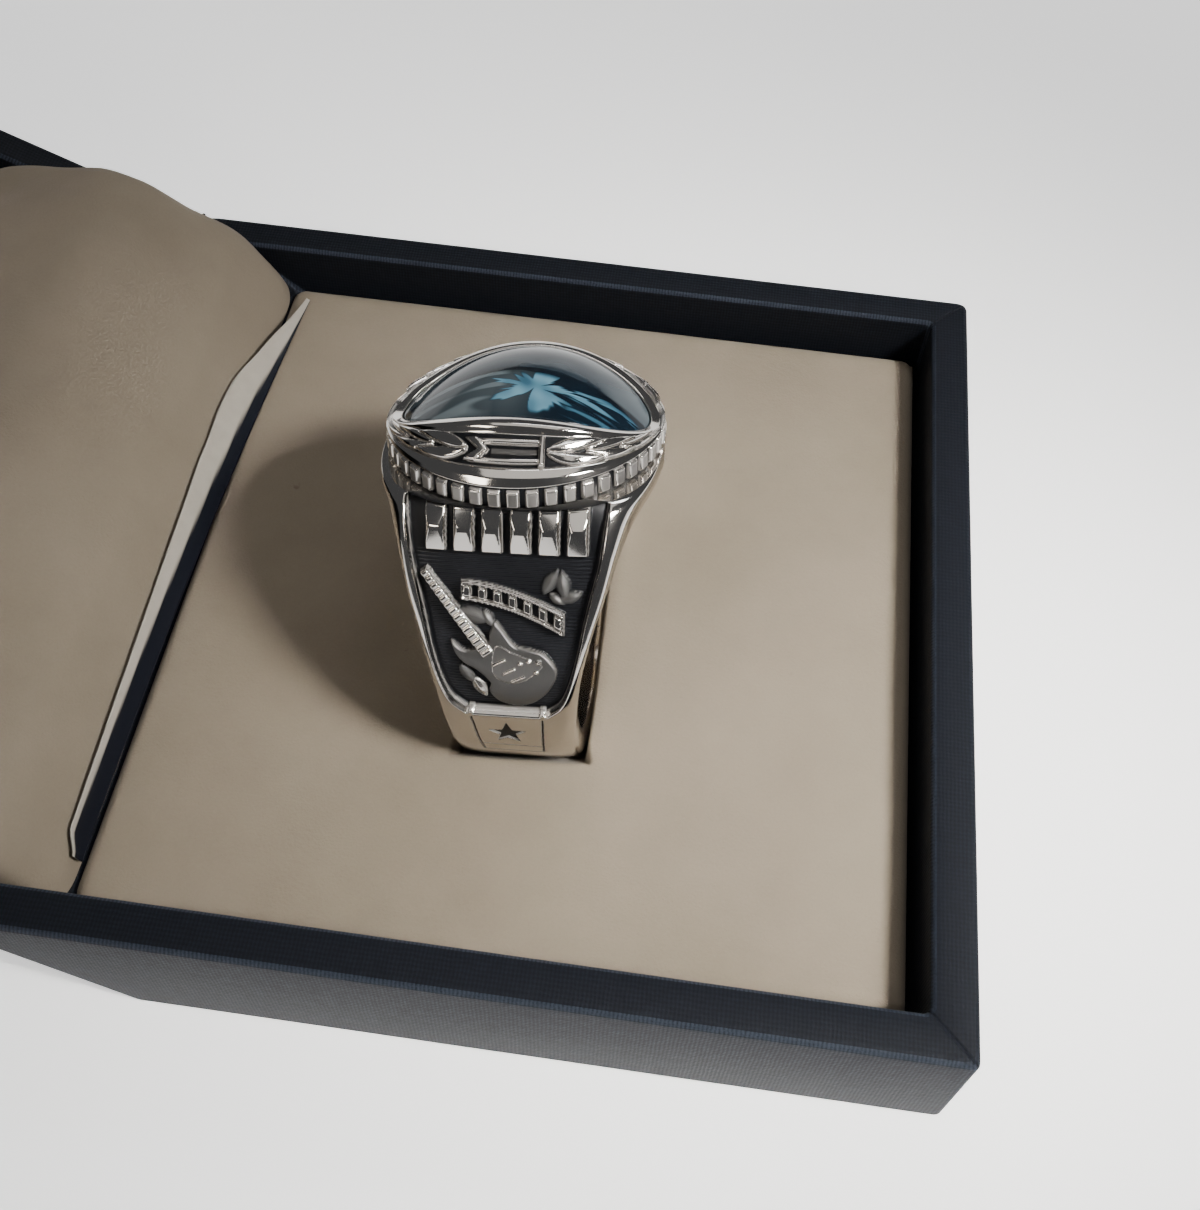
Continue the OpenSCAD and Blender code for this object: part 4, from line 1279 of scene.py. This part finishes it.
@dataclass
class Stone(RingPart):
    """The oval stone: upright edge, arched top, facetted underside, and the light and reflection painted on
    it.
    """

    dome: float = 0.9
    edge: float = 0.5
    deep: float = 1.9
    facet_deg: float = 15.0
    columns: int = 480
    rows: int = 150
    burst: Pair = (1.0, -2.5)

    def rays(self, turn: np.ndarray, far: np.ndarray) -> np.ndarray:
        """Uneven rays: a sum of sines of the angle with seeded phases, bent with the distance.

        Args:
            turn: Angle about the burst's middle.
            far: Distance from it, as a share of the stone's half size.

        Returns:
            The rays, mostly between -1 and 1.
        """
        counts, shares = (7, 11, 17, 24, 31, 43), (0.8, 1.0, 0.9, 0.9, 0.7, 0.5)
        phases = np.random.default_rng(5).uniform(0, 6.28, len(counts))
        total = np.zeros(turn.shape)
        for count, phase, share in zip(counts, phases, shares):
            total += share * np.sin(count * turn + phase + 0.9 * np.sin(4.3 * far + phase))
        return total / 2.1

    def light(self, x: np.ndarray, y: np.ndarray) -> tuple[np.ndarray, np.ndarray]:
        """Painted light: colour of the light that the facets under the stone would throw up.

        About the burst's middle lies a heart of painted light whose edge is a sum of sines of the angle. On
        its right, painted streaks and glints are the crests of stretched wave fields, and on its left painted
        pale lenses are. Behind them a painted dark line arches across the stone, and past it lies a painted
        grey crescent of reflection, palest at the rim. The stone is painted darker towards its long sides.

        Args:
            x: Place along the finger.
            y: Place across it.

        Returns:
            The painted blue light from 0 to 1, and the share of painted pale gleam and reflection from 0 to
            0.85.
        """
        u = (x - self.burst[0]) / self.stone_a
        w = (y - self.burst[1] * np.clip(1 - 0.85 * u * u, 0, 1)) / self.stone_b
        turn, far = np.arctan2(w * 1.5, u), np.hypot(u, w * 1.5)
        rays = self.rays(turn, far)
        petals = 0.10 * np.sin(5 * turn + 0.7) + 0.07 * np.sin(9 * turn + 2.1) + 0.05 * rays
        heart = ramp(0.29 + petals - np.hypot(u, w * 0.62) * 1.15, 0.0, 0.07)
        level = np.exp(-((w * 1.5) ** 2))
        right = ramp(u, 0.16, 0.34) * (1 - ramp(np.hypot(u, w * 0.9), 0.74, 0.9))
        left = ramp(-u, 0.14, 0.34) * (1 - ramp(np.abs(u), 0.96, 1.12))
        streak = ramp(wave_field(x * 0.5, y * 3.2 + 0.35 * x, 41, 2.6) + 0.35 * rays, 0.05, 0.55)
        glint = ramp(wave_field(x * 0.4, y * 5.0 + 0.55 * x, 43, 2.4), 0.8, 1.25)
        lens = ramp(wave_field(x * 0.55, y * 3.0 - 0.30 * x, 47, 2.8), 0.15, 0.8)
        tone = 0.10 + 0.62 * heart * (0.86 + 0.16 * wave_field(x, y, 31, 1.8))
        tone = tone + right * (1 - heart) * level * (0.04 + 0.46 * streak + 0.34 * glint)
        pale = left * (1 - heart) * (0.34 + 0.80 * lens) * (0.35 + 0.65 * level)
        pale = np.maximum(pale, 0.34 * (1 - heart) * np.exp(-((u + 0.22) / 0.22) ** 2) * level)
        # painted dark line arching across the stone, and painted grey reflection past it
        behind = y + 0.35 + 0.016 * x * x
        beyond = ramp(behind, 0.0, 0.35)
        rim = np.hypot(x / self.stone_a, y / self.stone_b)
        painted_reflection_crescent = 0.10 + 0.26 * ramp(rim, 0.55, 0.95) + 0.06 * wave_field(x, y, 33, 2.2)
        tone = tone * (1 - 0.9 * np.exp(-((behind / 0.5) ** 2)))
        tone = tone * (1 - beyond) + beyond * 0.20
        pale = pale * (1 - 0.85 * np.exp(-((behind / 0.35) ** 2)))
        pale = pale * (1 - beyond) + beyond * painted_reflection_crescent
        # painted shade: darker towards the stone's long sides
        shade = 1 - 0.45 * ramp(np.abs(w), 0.6, 1.0)
        return np.clip(tone * shade, 0, 1), np.clip(pale, 0, 0.85)

    def ring_at(self, share: float, z: float, facet: float = 0.0) -> np.ndarray:
        """One oval ring that follows the arch of the lip.

        It is pulled in by half of facet at every facet_deg degrees, and not at all halfway between, so
        that facets meet in creases and ridges.

        Args:
            share: Its size, as a share of the stone's.
            z: Its height over the lip.
            facet: How deep its facets are, as a share of its size.

        Returns:
            The ring's points.
        """
        t = np.linspace(-np.pi, np.pi, self.columns, endpoint=False)
        pull = share * (1 - facet * np.abs(np.mod(np.degrees(t) / self.facet_deg, 1.0) - 0.5))
        c = pull * np.cos(t)
        return np.stack([self.stone_a * pull * np.cos(t), self.stone_b * pull * np.sin(t),
                         self.lip_z + z - self.lip_arch * c ** 2], -1)

    def build(self) -> bpy.types.Object:
        """Loft the stone from its flat tip underneath to the middle of its top.

        Returns:
            The piece.
        """
        # share of the stone's size, height over the lip, depth of the facets
        under = ((0.3, -self.edge - self.deep * 0.9, 0.06), (0.6, -self.edge - 1.15, 0.05),
                 (0.9, -self.edge - 0.2, 0.01), (1.0, -self.edge, 0.0),
                 (1.0, -0.06, 0.0), (0.997, -0.02, 0.0))
        rows = [self.ring_at(*row) for row in under]
        rows += [self.ring_at(float(k), self.dome * (1 - k * k)) for k in np.linspace(0.99, 0.004, self.rows)]
        rings = np.stack(rows)
        # painted light and painted gleams and reflections, kept as fields for the glass
        tone, pale = self.light(rings[..., 0], rings[..., 1])
        fields = {"tone": tone, "pale": pale}
        return closed_loft("ring_stone_cut", self.ring.place(rings), fields, None, False)


@dataclass
class Box:
    """Base and lid of the box: cloth-covered board walls, one of them slanted at the hinge."""

    pad_w: float = 53.0
    pad_d: float = 56.3
    rim_h: float = 10.7
    wall: float = 2.95
    slant_t: float = 2.0
    floor: float = 1.1
    slant: float = math.radians(41.0)
    hinge_x: float = -34.85
    hinge_r: float = 0.9
    lid_depth: float = 24.6
    gap: float = 0.3
    round_r: float = 0.5
    pad_clear: float = 0.65

    def __post_init__(self) -> None:
        """Work out the plan sizes and the lid's open angle."""
        self.inner_r = self.pad_w / 2 + self.pad_clear
        self.outer_r = self.inner_r + self.wall
        self.inner_y = self.pad_d / 2 + self.pad_clear
        self.outer_y = self.inner_y + self.wall
        self.level = self.slant_t / math.sin(self.slant)
        self.open = math.pi - self.slant + math.asin(self.rim_h / (self.lid_depth / math.sin(self.slant)))
        self.lid_wide = self.outer_r - self.hinge_x

    def slant_x(self, z: float) -> float:
        """Place of the slanted wall's outside at height z."""
        return self.hinge_x + (self.rim_h - z) / math.tan(self.slant)

    def lid_place(self, points: np.ndarray) -> np.ndarray:
        """Turn points about the hinge, from the closed lid's axes to the open lid.

        Args:
            points: Points in the closed lid's axes, which start at the hinge.

        Returns:
            The points in the frame of the part.
        """
        c, s = math.cos(self.open), math.sin(self.open)
        x, y, z = points[..., 0], points[..., 1], points[..., 2]
        return np.stack([self.hinge_x + x * c - z * s, y, self.rim_h + x * s + z * c], -1)

    def tray(self, name: str, outer: list[Pair], inner: list[Pair], lid: bool) -> bpy.types.Object:
        """A board tray with rounded, cloth-covered edges.

        Its map lies on the axis plane that each face is nearest to, in millimetres. An edge's wear
        rises from 0 to 1 as its rounding turns away from the walls beside it.

        Args:
            name: Name of the piece.
            outer: Four corners of the outside in side view, with the two rim corners last.
            inner: The matching corners of the inside.
            lid: Whether the tray is the lid, which is turned open.

        Returns:
            The piece, with its map and its edge field.
        """
        points = []
        for y in (-self.outer_y, self.outer_y):
            points += [(x, y, z) for x, z in outer]
        for y in (-self.inner_y, self.inner_y):
            points += [(x, y, z) for x, z in inner]
        faces = [(0, 1, 2, 3), (7, 6, 5, 4), (0, 4, 5, 1), (1, 5, 6, 2), (0, 3, 7, 4),
                 (8, 11, 10, 9), (12, 13, 14, 15), (8, 9, 13, 12), (9, 10, 14, 13), (8, 12, 15, 11),
                 (3, 2, 10, 11), (2, 6, 14, 10), (6, 7, 15, 14), (7, 3, 11, 15)]
        work = bmesh.new()
        verts = [work.verts.new(p) for p in points]
        for face in faces:
            work.faces.new([verts[i] for i in face])
        bmesh.ops.recalc_face_normals(work, faces=work.faces)
        bmesh.ops.bevel(work, geom=list(work.edges) + list(work.verts), offset=self.round_r, segments=4,
                        profile=0.5, affect="EDGES", clamp_overlap=True)
        mesh = bpy.data.meshes.new(name)
        work.to_mesh(mesh)
        work.free()
        if mesh.polygons and sum(p.center.dot(p.normal) * p.area for p in mesh.polygons) < 0:
            mesh.flip_normals()
        co = mesh_values(mesh.vertices, "co", float, 3)
        normals = mesh_values(mesh.polygons, "normal", float, 3)
        totals = mesh_values(mesh.polygons, "loop_total", np.int32)
        corner = mesh_values(mesh.loops, "vertex_index", np.int32)
        owner = np.repeat(np.arange(len(totals)), totals)
        planes = np.array([[1, 2], [0, 2], [0, 1]])[np.argmax(np.abs(normals), axis=1)]
        uv = np.take_along_axis(co[corner], planes[owner], 1)
        mesh.uv_layers.new(name="UVMap").data.foreach_set("uv", uv.astype(np.float32).ravel())
        slanted = np.abs(normals[:, 0] * math.sin(self.slant) + normals[:, 2] * math.cos(self.slant))
        tilt = np.maximum(np.abs(normals).max(1), slanted)
        wear = ramp(1 - tilt, 0.004, 0.16)[owner]
        mesh.attributes.new("edge", "FLOAT", "CORNER").data.foreach_set("value", wear.astype(np.float32))
        place = self.lid_place(co) if lid else co
        mesh.vertices.foreach_set("co", (place * MM).astype(np.float32).ravel())
        mesh.polygons.foreach_set("use_smooth", np.ones(len(mesh.polygons), bool))
        mesh.update()
        return add_object(name, mesh)

    def base(self) -> bpy.types.Object:
        """The base's tray.

        Returns:
            The piece.
        """
        f, r = self.floor, self.rim_h
        outer = [(self.slant_x(0), 0.0), (self.outer_r, 0.0), (self.outer_r, r), (self.hinge_x, r)]
        inner = [(self.slant_x(f) + self.level, f), (self.inner_r, f), (self.inner_r, r),
                 (self.hinge_x + self.level, r)]
        return self.tray("box_base_cloth", outer, inner, False)

    def lid(self) -> bpy.types.Object:
        """The lid's tray, built closed and turned open.

        Returns:
            The piece.
        """
        g, h, tan = self.gap, self.lid_depth, math.tan(self.slant)
        top, inside = h - self.slant_t, self.lid_wide - self.wall
        outer = [(h / tan, h), (self.lid_wide, h), (self.lid_wide, g), (g / tan, g)]
        inner = [(self.level + top / tan, top), (inside, top), (inside, g), (self.level + g / tan, g)]
        return self.tray("box_lid_cloth", outer, inner, True)

    def hinge(self) -> bpy.types.Object:
        """The roll of cloth along the hinge line: rings a little uneven in size, and thin at both ends.

        Returns:
            The piece.
        """
        t = np.linspace(0, 2 * np.pi, 40, endpoint=False)
        y = np.linspace(-self.outer_y + 0.05, self.outer_y - 0.05, 160)[:, None]
        taper = 0.97 - 0.8 * ramp(np.abs(y), self.outer_y - 2.6, self.outer_y)
        r = self.hinge_r * taper + 0.012 * wave_field(y, y * 0, 4, 9.0)
        rings = np.stack([self.hinge_x + r * np.cos(t), y + 0 * t, self.rim_h + r * np.sin(t)], -1)
        grid = rings.shape[:2]
        uv = np.stack([np.broadcast_to(y, grid), np.broadcast_to(t * self.hinge_r, grid)], -1)
        return closed_loft("hinge_roll", rings, {"edge": np.full(grid, 0.35)}, uv)


@dataclass
class Pad:
    """The velour pad: flat top with soft edges and a slot that the shank is pushed into."""

    half_x: float = 26.5
    half_y: float = 28.15
    top: float = 7.6
    low: float = 1.25
    round_r: float = 1.15
    slot_r: float = 12.04
    slot_half: float = 4.34
    fine_x: Pair = (-6.6, 5.2)
    fine_y: Pair = (-15.8, 9.0)
    coarse: float = 0.55
    skirt: tuple[Pair, ...] = ((5.6, 0.05), (4.2, 0.10), (2.8, 0.12), (1.7, 0.3), (1.25, 0.8))
    wall_level: float = 3.05
    clear: float = 0.25
    ring: RingFrame = RingFrame()

    def lines(self, half: float, near: Pair, fine: float) -> np.ndarray:
        """Grid lines, close at the edges and between two places, and wider elsewhere.

        Args:
            half: Half of the pad's size.
            near: The two places.
            fine: Step between them.

        Returns:
            The places of the lines.
        """
        edge = self.round_r * (1 - np.cos(np.linspace(0, np.pi / 2, 9)))[:-1]
        inner = half - self.round_r
        a = np.arange(-inner, near[0], self.coarse)
        b = np.arange(*near, fine)
        c = np.append(np.arange(near[1], inner - self.coarse / 2, self.coarse), inner)
        return np.concatenate([-half + edge, a, b, c, (half - edge)[::-1]])

    def surface(self, x: np.ndarray, y: np.ndarray) -> np.ndarray:
        """Height of the pad's top.

        A quarter circle at the edges, a faint uneven swell, a soft lip round the slot, and in the
        slot the lower half of a cylinder about the finger hole's axis.

        Args:
            x: Places from side to side.
            y: Places from front to back.

        Returns:
            Heights above the table.
        """
        ex = np.maximum(0.0, self.round_r - (self.half_x - np.abs(x)))
        ey = np.maximum(0.0, self.round_r - (self.half_y - np.abs(y)))
        off = np.minimum(np.hypot(ex, ey), self.round_r)
        drop = self.round_r - np.sqrt(np.maximum(0.0, self.round_r ** 2 - off ** 2))
        swell = 0.07 * wave_field(x, y, 8, 26.0) + 0.02 * wave_field(x, y, 9, 7.0)
        crown = 0.28 * (1 - (x / self.half_x) ** 6) * (1 - (y / self.half_y) ** 6) - 0.28
        z = self.top + crown + swell * ramp(self.round_r * 2 - off, self.round_r, self.round_r * 2) - drop
        axis = self.ring.matrix()[:, 0]
        at = np.array(self.ring.at)
        slope = np.tan(np.arcsin(axis[2]))
        along = ((x - at[0]) * axis[0] + (y - at[1]) * axis[1] + (z - at[2]) * axis[2])
        across = (y - at[1]) - along * axis[1]
        hub = at[2] + along * slope
        bottom = hub - np.sqrt(np.maximum(0.04, self.slot_r ** 2 - across ** 2))
        chord = np.sqrt(np.maximum(0.0, self.slot_r ** 2 - (hub - self.top) ** 2))
        notch = 0.34 * np.exp(-(((across + chord) / 0.8) ** 2))
        gone = np.minimum(self.slot_half + notch - np.abs(along), (chord - np.abs(across)) * 0.9 + 0.1)
        fade = 1 - ramp(np.abs(across), chord - 1, chord + 3) * 0.6
        lip = 0.16 * np.exp(-((gone + 1.0) / 0.9) ** 2) * fade
        share = ramp(gone, -0.3, 0.04)
        floor = np.maximum(np.minimum(bottom, z), self.low + 0.4)
        return np.where(gone > -0.3, z + lip - (z + lip - floor) * share ** 2, z + lip)

    def build(self) -> bpy.types.Object:
        """Grid of the top, a skirt down to the underside, and a flat underside.

        The skirt is rings of the grid's rim, each lower and pulled in, and clear of the slanted wall.

        Returns:
            The piece.
        """
        xs, ys = self.lines(self.half_x, self.fine_x, 0.11), self.lines(self.half_y, self.fine_y, 0.22)
        x, y = np.meshgrid(xs, ys, indexing="ij")
        nx, ny = x.shape
        grid = np.stack([x, y, self.surface(x, y)], -1).reshape(-1, 3)
        i, j = np.meshgrid(np.arange(nx - 1), np.arange(ny - 1), indexing="ij")
        first = i * ny + j
        quads = np.stack([first, first + ny, first + ny + 1, first + 1], -1).reshape(-1, 4)
        loop = np.concatenate([np.arange(nx - 1) * ny, (nx - 1) * ny + np.arange(ny - 1),
                               np.arange(nx - 1, 0, -1) * ny + ny - 1, np.arange(ny - 1, 0, -1)])
        size = len(loop)
        k = np.roll(np.arange(size), -1)
        points, faces, before = [grid], [quads], loop
        for height, pull in self.skirt:
            ring = grid[loop]
            ring[:, 2] = height
            slanted = Box().slant_x(height) + self.wall_level + self.clear
            ring[:, 0] = np.clip(ring[:, 0], max(-self.half_x + pull, slanted), self.half_x - pull)
            ring[:, 1] = np.clip(ring[:, 1], -self.half_y + pull, self.half_y - pull)
            now = sum(len(p) for p in points) + np.arange(size)
            faces.append(np.stack([before, before[k], now[k], now], 1)[:, ::-1])
            points.append(ring)
            before = now
        middle = np.full(size, sum(len(p) for p in points))
        points.append(points[-1].mean(0)[None])
        faces.append(np.stack([before[k], before, middle, middle], 1))
        whole = np.concatenate(points)
        top = whole[:nx * ny]
        # edge field of the velour: painted shade, deeper down in the slot, and on the pad's sides and
        # underside
        in_slot = (np.abs(top[:, 0]) < 20) & (np.abs(top[:, 1]) < 22)
        edge = np.full(len(whole), 0.6)
        edge[:nx * ny] = np.where(in_slot, ramp(self.top - top[:, 2], 0.6, 2.5), 0.0)
        return new_piece("pad_velour", whole, np.concatenate(faces), None, {"edge": edge})


@dataclass
class Lining:
    """One cream lining from the pad's edge over the hinge and through the lid."""

    half_y: float = 28.6
    face: list[Pair] = field(default_factory=lambda: [
        (-26.72, 3.6), (-26.74, 5.6), (-27.1, 7.3), (-28.2, 9.6), (-30.2, 12.8), (-34.0, 15.1), (-38.0, 16.9),
        (-40.9, 17.45), (-45.4, 17.2), (-49.2, 16.4), (-53.0, 14.2), (-57.2, 11.0), (-61.6, 7.5),
        (-66.2, 4.9), (-70.6, 3.75), (-75.0, 5.5), (-88.0, 11.4), (-99.9, 16.85)])
    back: list[Pair] = field(default_factory=lambda: [
        (-26.9, 6.3), (-28.7, 8.3), (-31.0, 10.45), (-33.5, 12.2), (-36.5, 12.5), (-39.5, 11.6), (-45.0, 9.9),
        (-50.0, 8.4), (-55.0, 6.9), (-60.0, 5.4), (-65.6, 3.75), (-70.6, 2.3), (-75.0, 4.2), (-88.0, 10.1),
        (-100.4, 15.75)])
    face_count: int = 220
    back_count: int = 60
    end_round: float = 2.4
    back_rise: float = 0.17

    def resample(self, points: list[Pair], count: int) -> np.ndarray:
        """Even steps along the open cubic curve through these points.

        Args:
            points: Points of the curve in side view.
            count: Number of steps' ends.

        Returns:
            The points at the steps, one row each.
        """
        p = np.array(points, float)
        run = run_length(p)
        at = np.linspace(0.0, run[-1], count)
        return np.stack([smooth_column(list(run), list(p[:, k]), at) for k in (0, 1)], 1)

    def build(self) -> bpy.types.Object:
        """Sweep the profile from front to back.

        The thickness over the back is worked out from the profile. It is less at the two ends, by a
        quarter circle, more by back_rise towards the back, and uneven by two wave fields.

        Returns:
            The piece.
        """
        face, back = self.resample(self.face, self.face_count), self.resample(self.back, self.back_count)
        share, steps = np.linspace(0, 1, self.face_count), np.linspace(0, 1, self.back_count)
        under = np.stack([np.interp(share, steps, back[:, k]) for k in (0, 1)], 1)
        y = np.concatenate([np.linspace(-1, -0.93, 14)[:-1], np.linspace(-0.93, 0.93, 110),
                            np.linspace(0.93, 1, 14)[1:]]) * self.half_y
        end = np.clip((self.half_y - np.abs(y)) / self.end_round, 0, 1)
        full = 0.45 + 0.55 * np.sqrt(1 - (1 - end) ** 2)
        thick = face - under
        run, side = run_length(face)[None, :], y[:, None]
        soft = 0.16 * wave_field(run, side, 21, 19.0) + 0.05 * wave_field(run, side, 22, 5.0)
        size = np.hypot(thick[:, 0], thick[:, 1])
        rise = self.back_rise * ramp(y, -6.0, 25.0)[:, None] * ramp(size, 2.0, 5.5)[None]
        swell = full[:, None] * (1 + rise + soft * ramp(size, 1.2, 4.0)[None] * 0.35)
        top = under[None] + thick[None] * swell[..., None]
        low = np.broadcast_to(back[::-1][None], (len(y), self.back_count, 2))
        flat = np.concatenate([top, low], 1)
        rings = np.stack([flat[..., 0], np.broadcast_to(side, flat.shape[:2]), flat[..., 1]], -1)
        # edge field of the velour: painted shade at the two ends, where the lining meets the front and back
        # walls
        edge = np.broadcast_to((1 - ramp(end, 0.0, 0.35))[:, None] * 0.5, flat.shape[:2])
        return closed_loft("lining_velour", rings, {"edge": edge}, None, False)


@dataclass(frozen=True)
class SlipPaper:
    """Glossy paper, pale, and dark along its lower edge and over its far face."""

    low: Colour = (0.30, 0.275, 0.235)
    high: Colour = (0.37, 0.34, 0.295)
    border: Colour = (0.004, 0.005, 0.009)

    def build(self) -> bpy.types.Material:
        """Pale or dark by the band field, with a faint mottle.

        Returns:
            The material.
        """
        s = Shader("slip_paper")
        pale = s.mix(s.noise(900.0, 3.0), self.low, self.high)
        s.skin_set(Base_Color=s.mix(s.field("band"), pale, self.border), Roughness=0.38,
                   Specular_IOR_Level=0.2)
        return s.material


@dataclass
class Slip:
    """A narrow bare slip of paper that is tucked in beside the pad.

    foot_x, foot_z, lean and wide each give the front end's value and what is added towards the back.
    """

    front_y: float = -25.6
    back_y: float = 25.9
    thick: float = 0.13
    foot_x: Pair = (-26.45, 1.9)
    foot_z: Pair = (7.35, 0.5)
    lean: Pair = (62.0, -30.0)
    wide: Pair = (1.75, 2.1)

    def build(self) -> bpy.types.Object:
        """Sweep a thin leaning section along the crease; it turns flatter and wider towards the back.

        Returns:
            The piece.
        """
        y = np.linspace(self.front_y, self.back_y, 150)
        s = (y - self.front_y) / (self.back_y - self.front_y)
        foot_x = self.foot_x[0] + self.foot_x[1] * s ** 2.2
        foot_z = self.foot_z[0] + self.foot_z[1] * s ** 0.5
        foot = np.stack([foot_x, foot_z], -1)
        lean = np.radians(self.lean[0] + self.lean[1] * s ** 1.5)
        tapered = 0.06 + 0.94 * ramp(1 - s, -0.04, 0.30)
        wide = (self.wide[0] + self.wide[1] * s ** 1.4) * tapered * (0.5 + 0.5 * ramp(s, 0.0, 0.03))
        wide = wide + 0.05 * wave_field(y, y * 0, 12, 6.0) * ramp(s, 0.4, 0.8)
        across = np.linspace(0.0, 1.0, 16)
        along = np.stack([-np.cos(lean), np.sin(lean)], -1)
        face = np.stack([np.sin(lean), np.cos(lean)], -1)
        bow = 0.22 * np.sin(np.pi * across)[None, :, None] * wide[:, None, None] / 4
        up = across[None, :, None] * wide[:, None, None]
        mid = foot[:, None] + along[:, None] * up - face[:, None] * bow
        near, far = mid + face[:, None] * self.thick / 2, mid - face[:, None] * self.thick / 2
        flat = np.concatenate([near, far[:, ::-1]], 1)
        rings = np.stack([flat[..., 0], np.broadcast_to(y[:, None], flat.shape[:2]), flat[..., 1]], -1)
        # dark along the lower edge, over most of the width at the front and little at the back; the far face
        # is all dark
        limit = (0.08 + 0.72 * (1 - s) ** 0.8)[:, None]
        band = 1 - ramp(across[None], limit - 0.04, limit + 0.03)
        return closed_loft("paper_slip", rings, {"band": np.concatenate([band, np.ones(band.shape)], 1)})


@dataclass
class Studio:
    """Floor, soft lights and the camera."""

    focal_px: float = 1400.0
    frame_px: float = 1210.0
    sensor: float = 36.0
    pitch: float = math.radians(55.80123)
    yaw: float = math.radians(-5.20642)
    roll: float = math.radians(2.99015)
    target: Point = (3.764178, -0.944386, 7.6)
    far: float = 101.844022
    floor_half: float = 8.0
    air: Colour = (0.62, 0.64, 0.68)
    air_light: float = 0.10

    def camera(self) -> bpy.types.Object:
        """The camera where the photograph was taken from: back from the target, along its view.

        Returns:
            The camera.
        """
        level = math.cos(self.pitch)
        fwd = Vector((math.sin(self.yaw) * level, math.cos(self.yaw) * level, -math.sin(self.pitch)))
        right = Vector((math.cos(self.yaw), -math.sin(self.yaw), 0.0))
        up = right.cross(fwd)
        r2 = right * math.cos(self.roll) + up * math.sin(self.roll)
        u2 = up * math.cos(self.roll) - right * math.sin(self.roll)
        at = (Vector(self.target) - fwd * self.far) * MM
        data = bpy.data.cameras.new("camera")
        data.sensor_width = self.sensor
        data.lens = self.focal_px * self.sensor / self.frame_px
        data.clip_start, data.clip_end = 0.005, 20.0
        eye = add_object("camera", data)
        eye.matrix_world = Matrix.Translation(at) @ Matrix((r2, u2, -fwd)).transposed().to_4x4()
        bpy.context.scene.camera = eye
        return eye

    def light(self, name: str, at: Point, aim: Point, size: Pair,
              watts: float, colour: Colour, spread: float) -> None:
        """Add one soft rectangular light.

        Args:
            name: Name of the light.
            at: Its place, in metres.
            aim: What it points at, in metres.
            size: Its width and height, in metres.
            watts: Its power.
            colour: Its colour.
            spread: Full angle of its beam, in degrees.
        """
        data = bpy.data.lights.new(name, "AREA")
        data.spread = math.radians(spread)
        data.shape, data.size, data.size_y = "RECTANGLE", size[0], size[1]
        data.energy, data.color = watts, colour
        lamp = add_object(name, data)
        way = Vector(aim) - Vector(at)
        lamp.matrix_world = Matrix.Translation(at) @ way.to_track_quat("-Z", "Y").to_matrix().to_4x4()

    def build(self) -> None:
        """Floor, world and lights."""
        mesh = bpy.data.meshes.new("floor")
        r = self.floor_half
        mesh.from_pydata([(-r, -r, 0), (r, -r, 0), (r, r, 0), (-r, r, 0)], [], [(0, 1, 2, 3)])
        mesh.materials.append(PaleFloor().build())
        add_object("floor", mesh)
        world = bpy.data.worlds.new("soft_room")
        world.use_nodes = True
        back = world.node_tree.nodes["Background"]
        back.inputs[0].default_value = (*self.air, 1.0)
        back.inputs[1].default_value = self.air_light
        bpy.context.scene.world = world
        # name, place, aim, width and height, watts, colour, angle of the beam
        lights = (
            ("key_right", (0.19, -0.07, 0.23), (0.026, -0.008, 0.008), (0.07, 0.05), 0.070,
             (1.0, 0.975, 0.94), 25.0),
            ("key_left", (-0.20, -0.24, 0.24), (0.0, -0.01, 0.01), (0.12, 0.07), 0.20,
             (1.0, 0.92, 0.82), 180.0),
            ("top_back", (0.05, 0.26, 0.36), (0.02, 0.02, 0.01), (0.30, 0.06), 0.42,
             (0.96, 0.97, 1.0), 180.0),
            ("room", (0.0, 0.0, 0.9), (0.0, 0.0, 0.0), (0.9, 0.9), 1.7,
             (1.0, 0.97, 0.93), 180.0),
        )
        for row in lights:
            self.light(*row)


def dress(piece: bpy.types.Object, material: bpy.types.Material, body: str, slot: str,
          *nodes: str) -> bpy.types.Object:
    """Give a piece its material and body, and hide the CAD nodes that it stands for.

    Args:
        piece: The new piece.
        material: Its material.
        body: Body that it rides on, or nothing where it is blended.
        slot: Material slot of the record. It is not used.
        nodes: CAD nodes that it replaces.

    Returns:
        The piece.
    """
    piece.data.materials.clear()
    piece.data.materials.append(material)
    if body:
        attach(piece, body)
    if nodes:
        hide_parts(*nodes)
    LOG.info("%s: %d faces", piece.name, len(piece.data.polygons))
    return piece


def main() -> None:
    """Build the ring, the box and its soft parts, then the studio."""
    logging.basicConfig(level=logging.INFO)
    studio = Studio()
    studio.camera()
    finishes = (CastSilver(), BlueGlass(), BookCloth(), Velour())
    silver, glass, cloth, velour = (finish.build() for finish in finishes)
    band = Band()
    dress(band.shoulder(Side.FRONT), silver, "base", "silver", "ring_casting")
    dress(band.shoulder(Side.BACK), silver, "base", "silver")
    dress(band.bottom(), silver, "base", "silver")
    dress(Head().build(), silver, "base", "silver")
    dress(Stone().build(), glass, "base", "stone", "ring_stone")
    box = Box()
    dress(box.base(), cloth, "base", "cloth", "box_base")
    dress(box.hinge(), cloth, "base", "cloth")
    dress(box.lid(), cloth, "lid", "cloth", "box_lid")
    pad = dress(Pad().build(), velour, "base", "velour", "ring_pad")
    lining = dress(Lining().build(), velour, "", "velour", "base_lining", "lid_lining")
    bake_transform(lining)
    dress(Slip().build(), SlipPaper().build(), "base", "velour")
    studio.build()


if __name__ == "__main__":
    main()
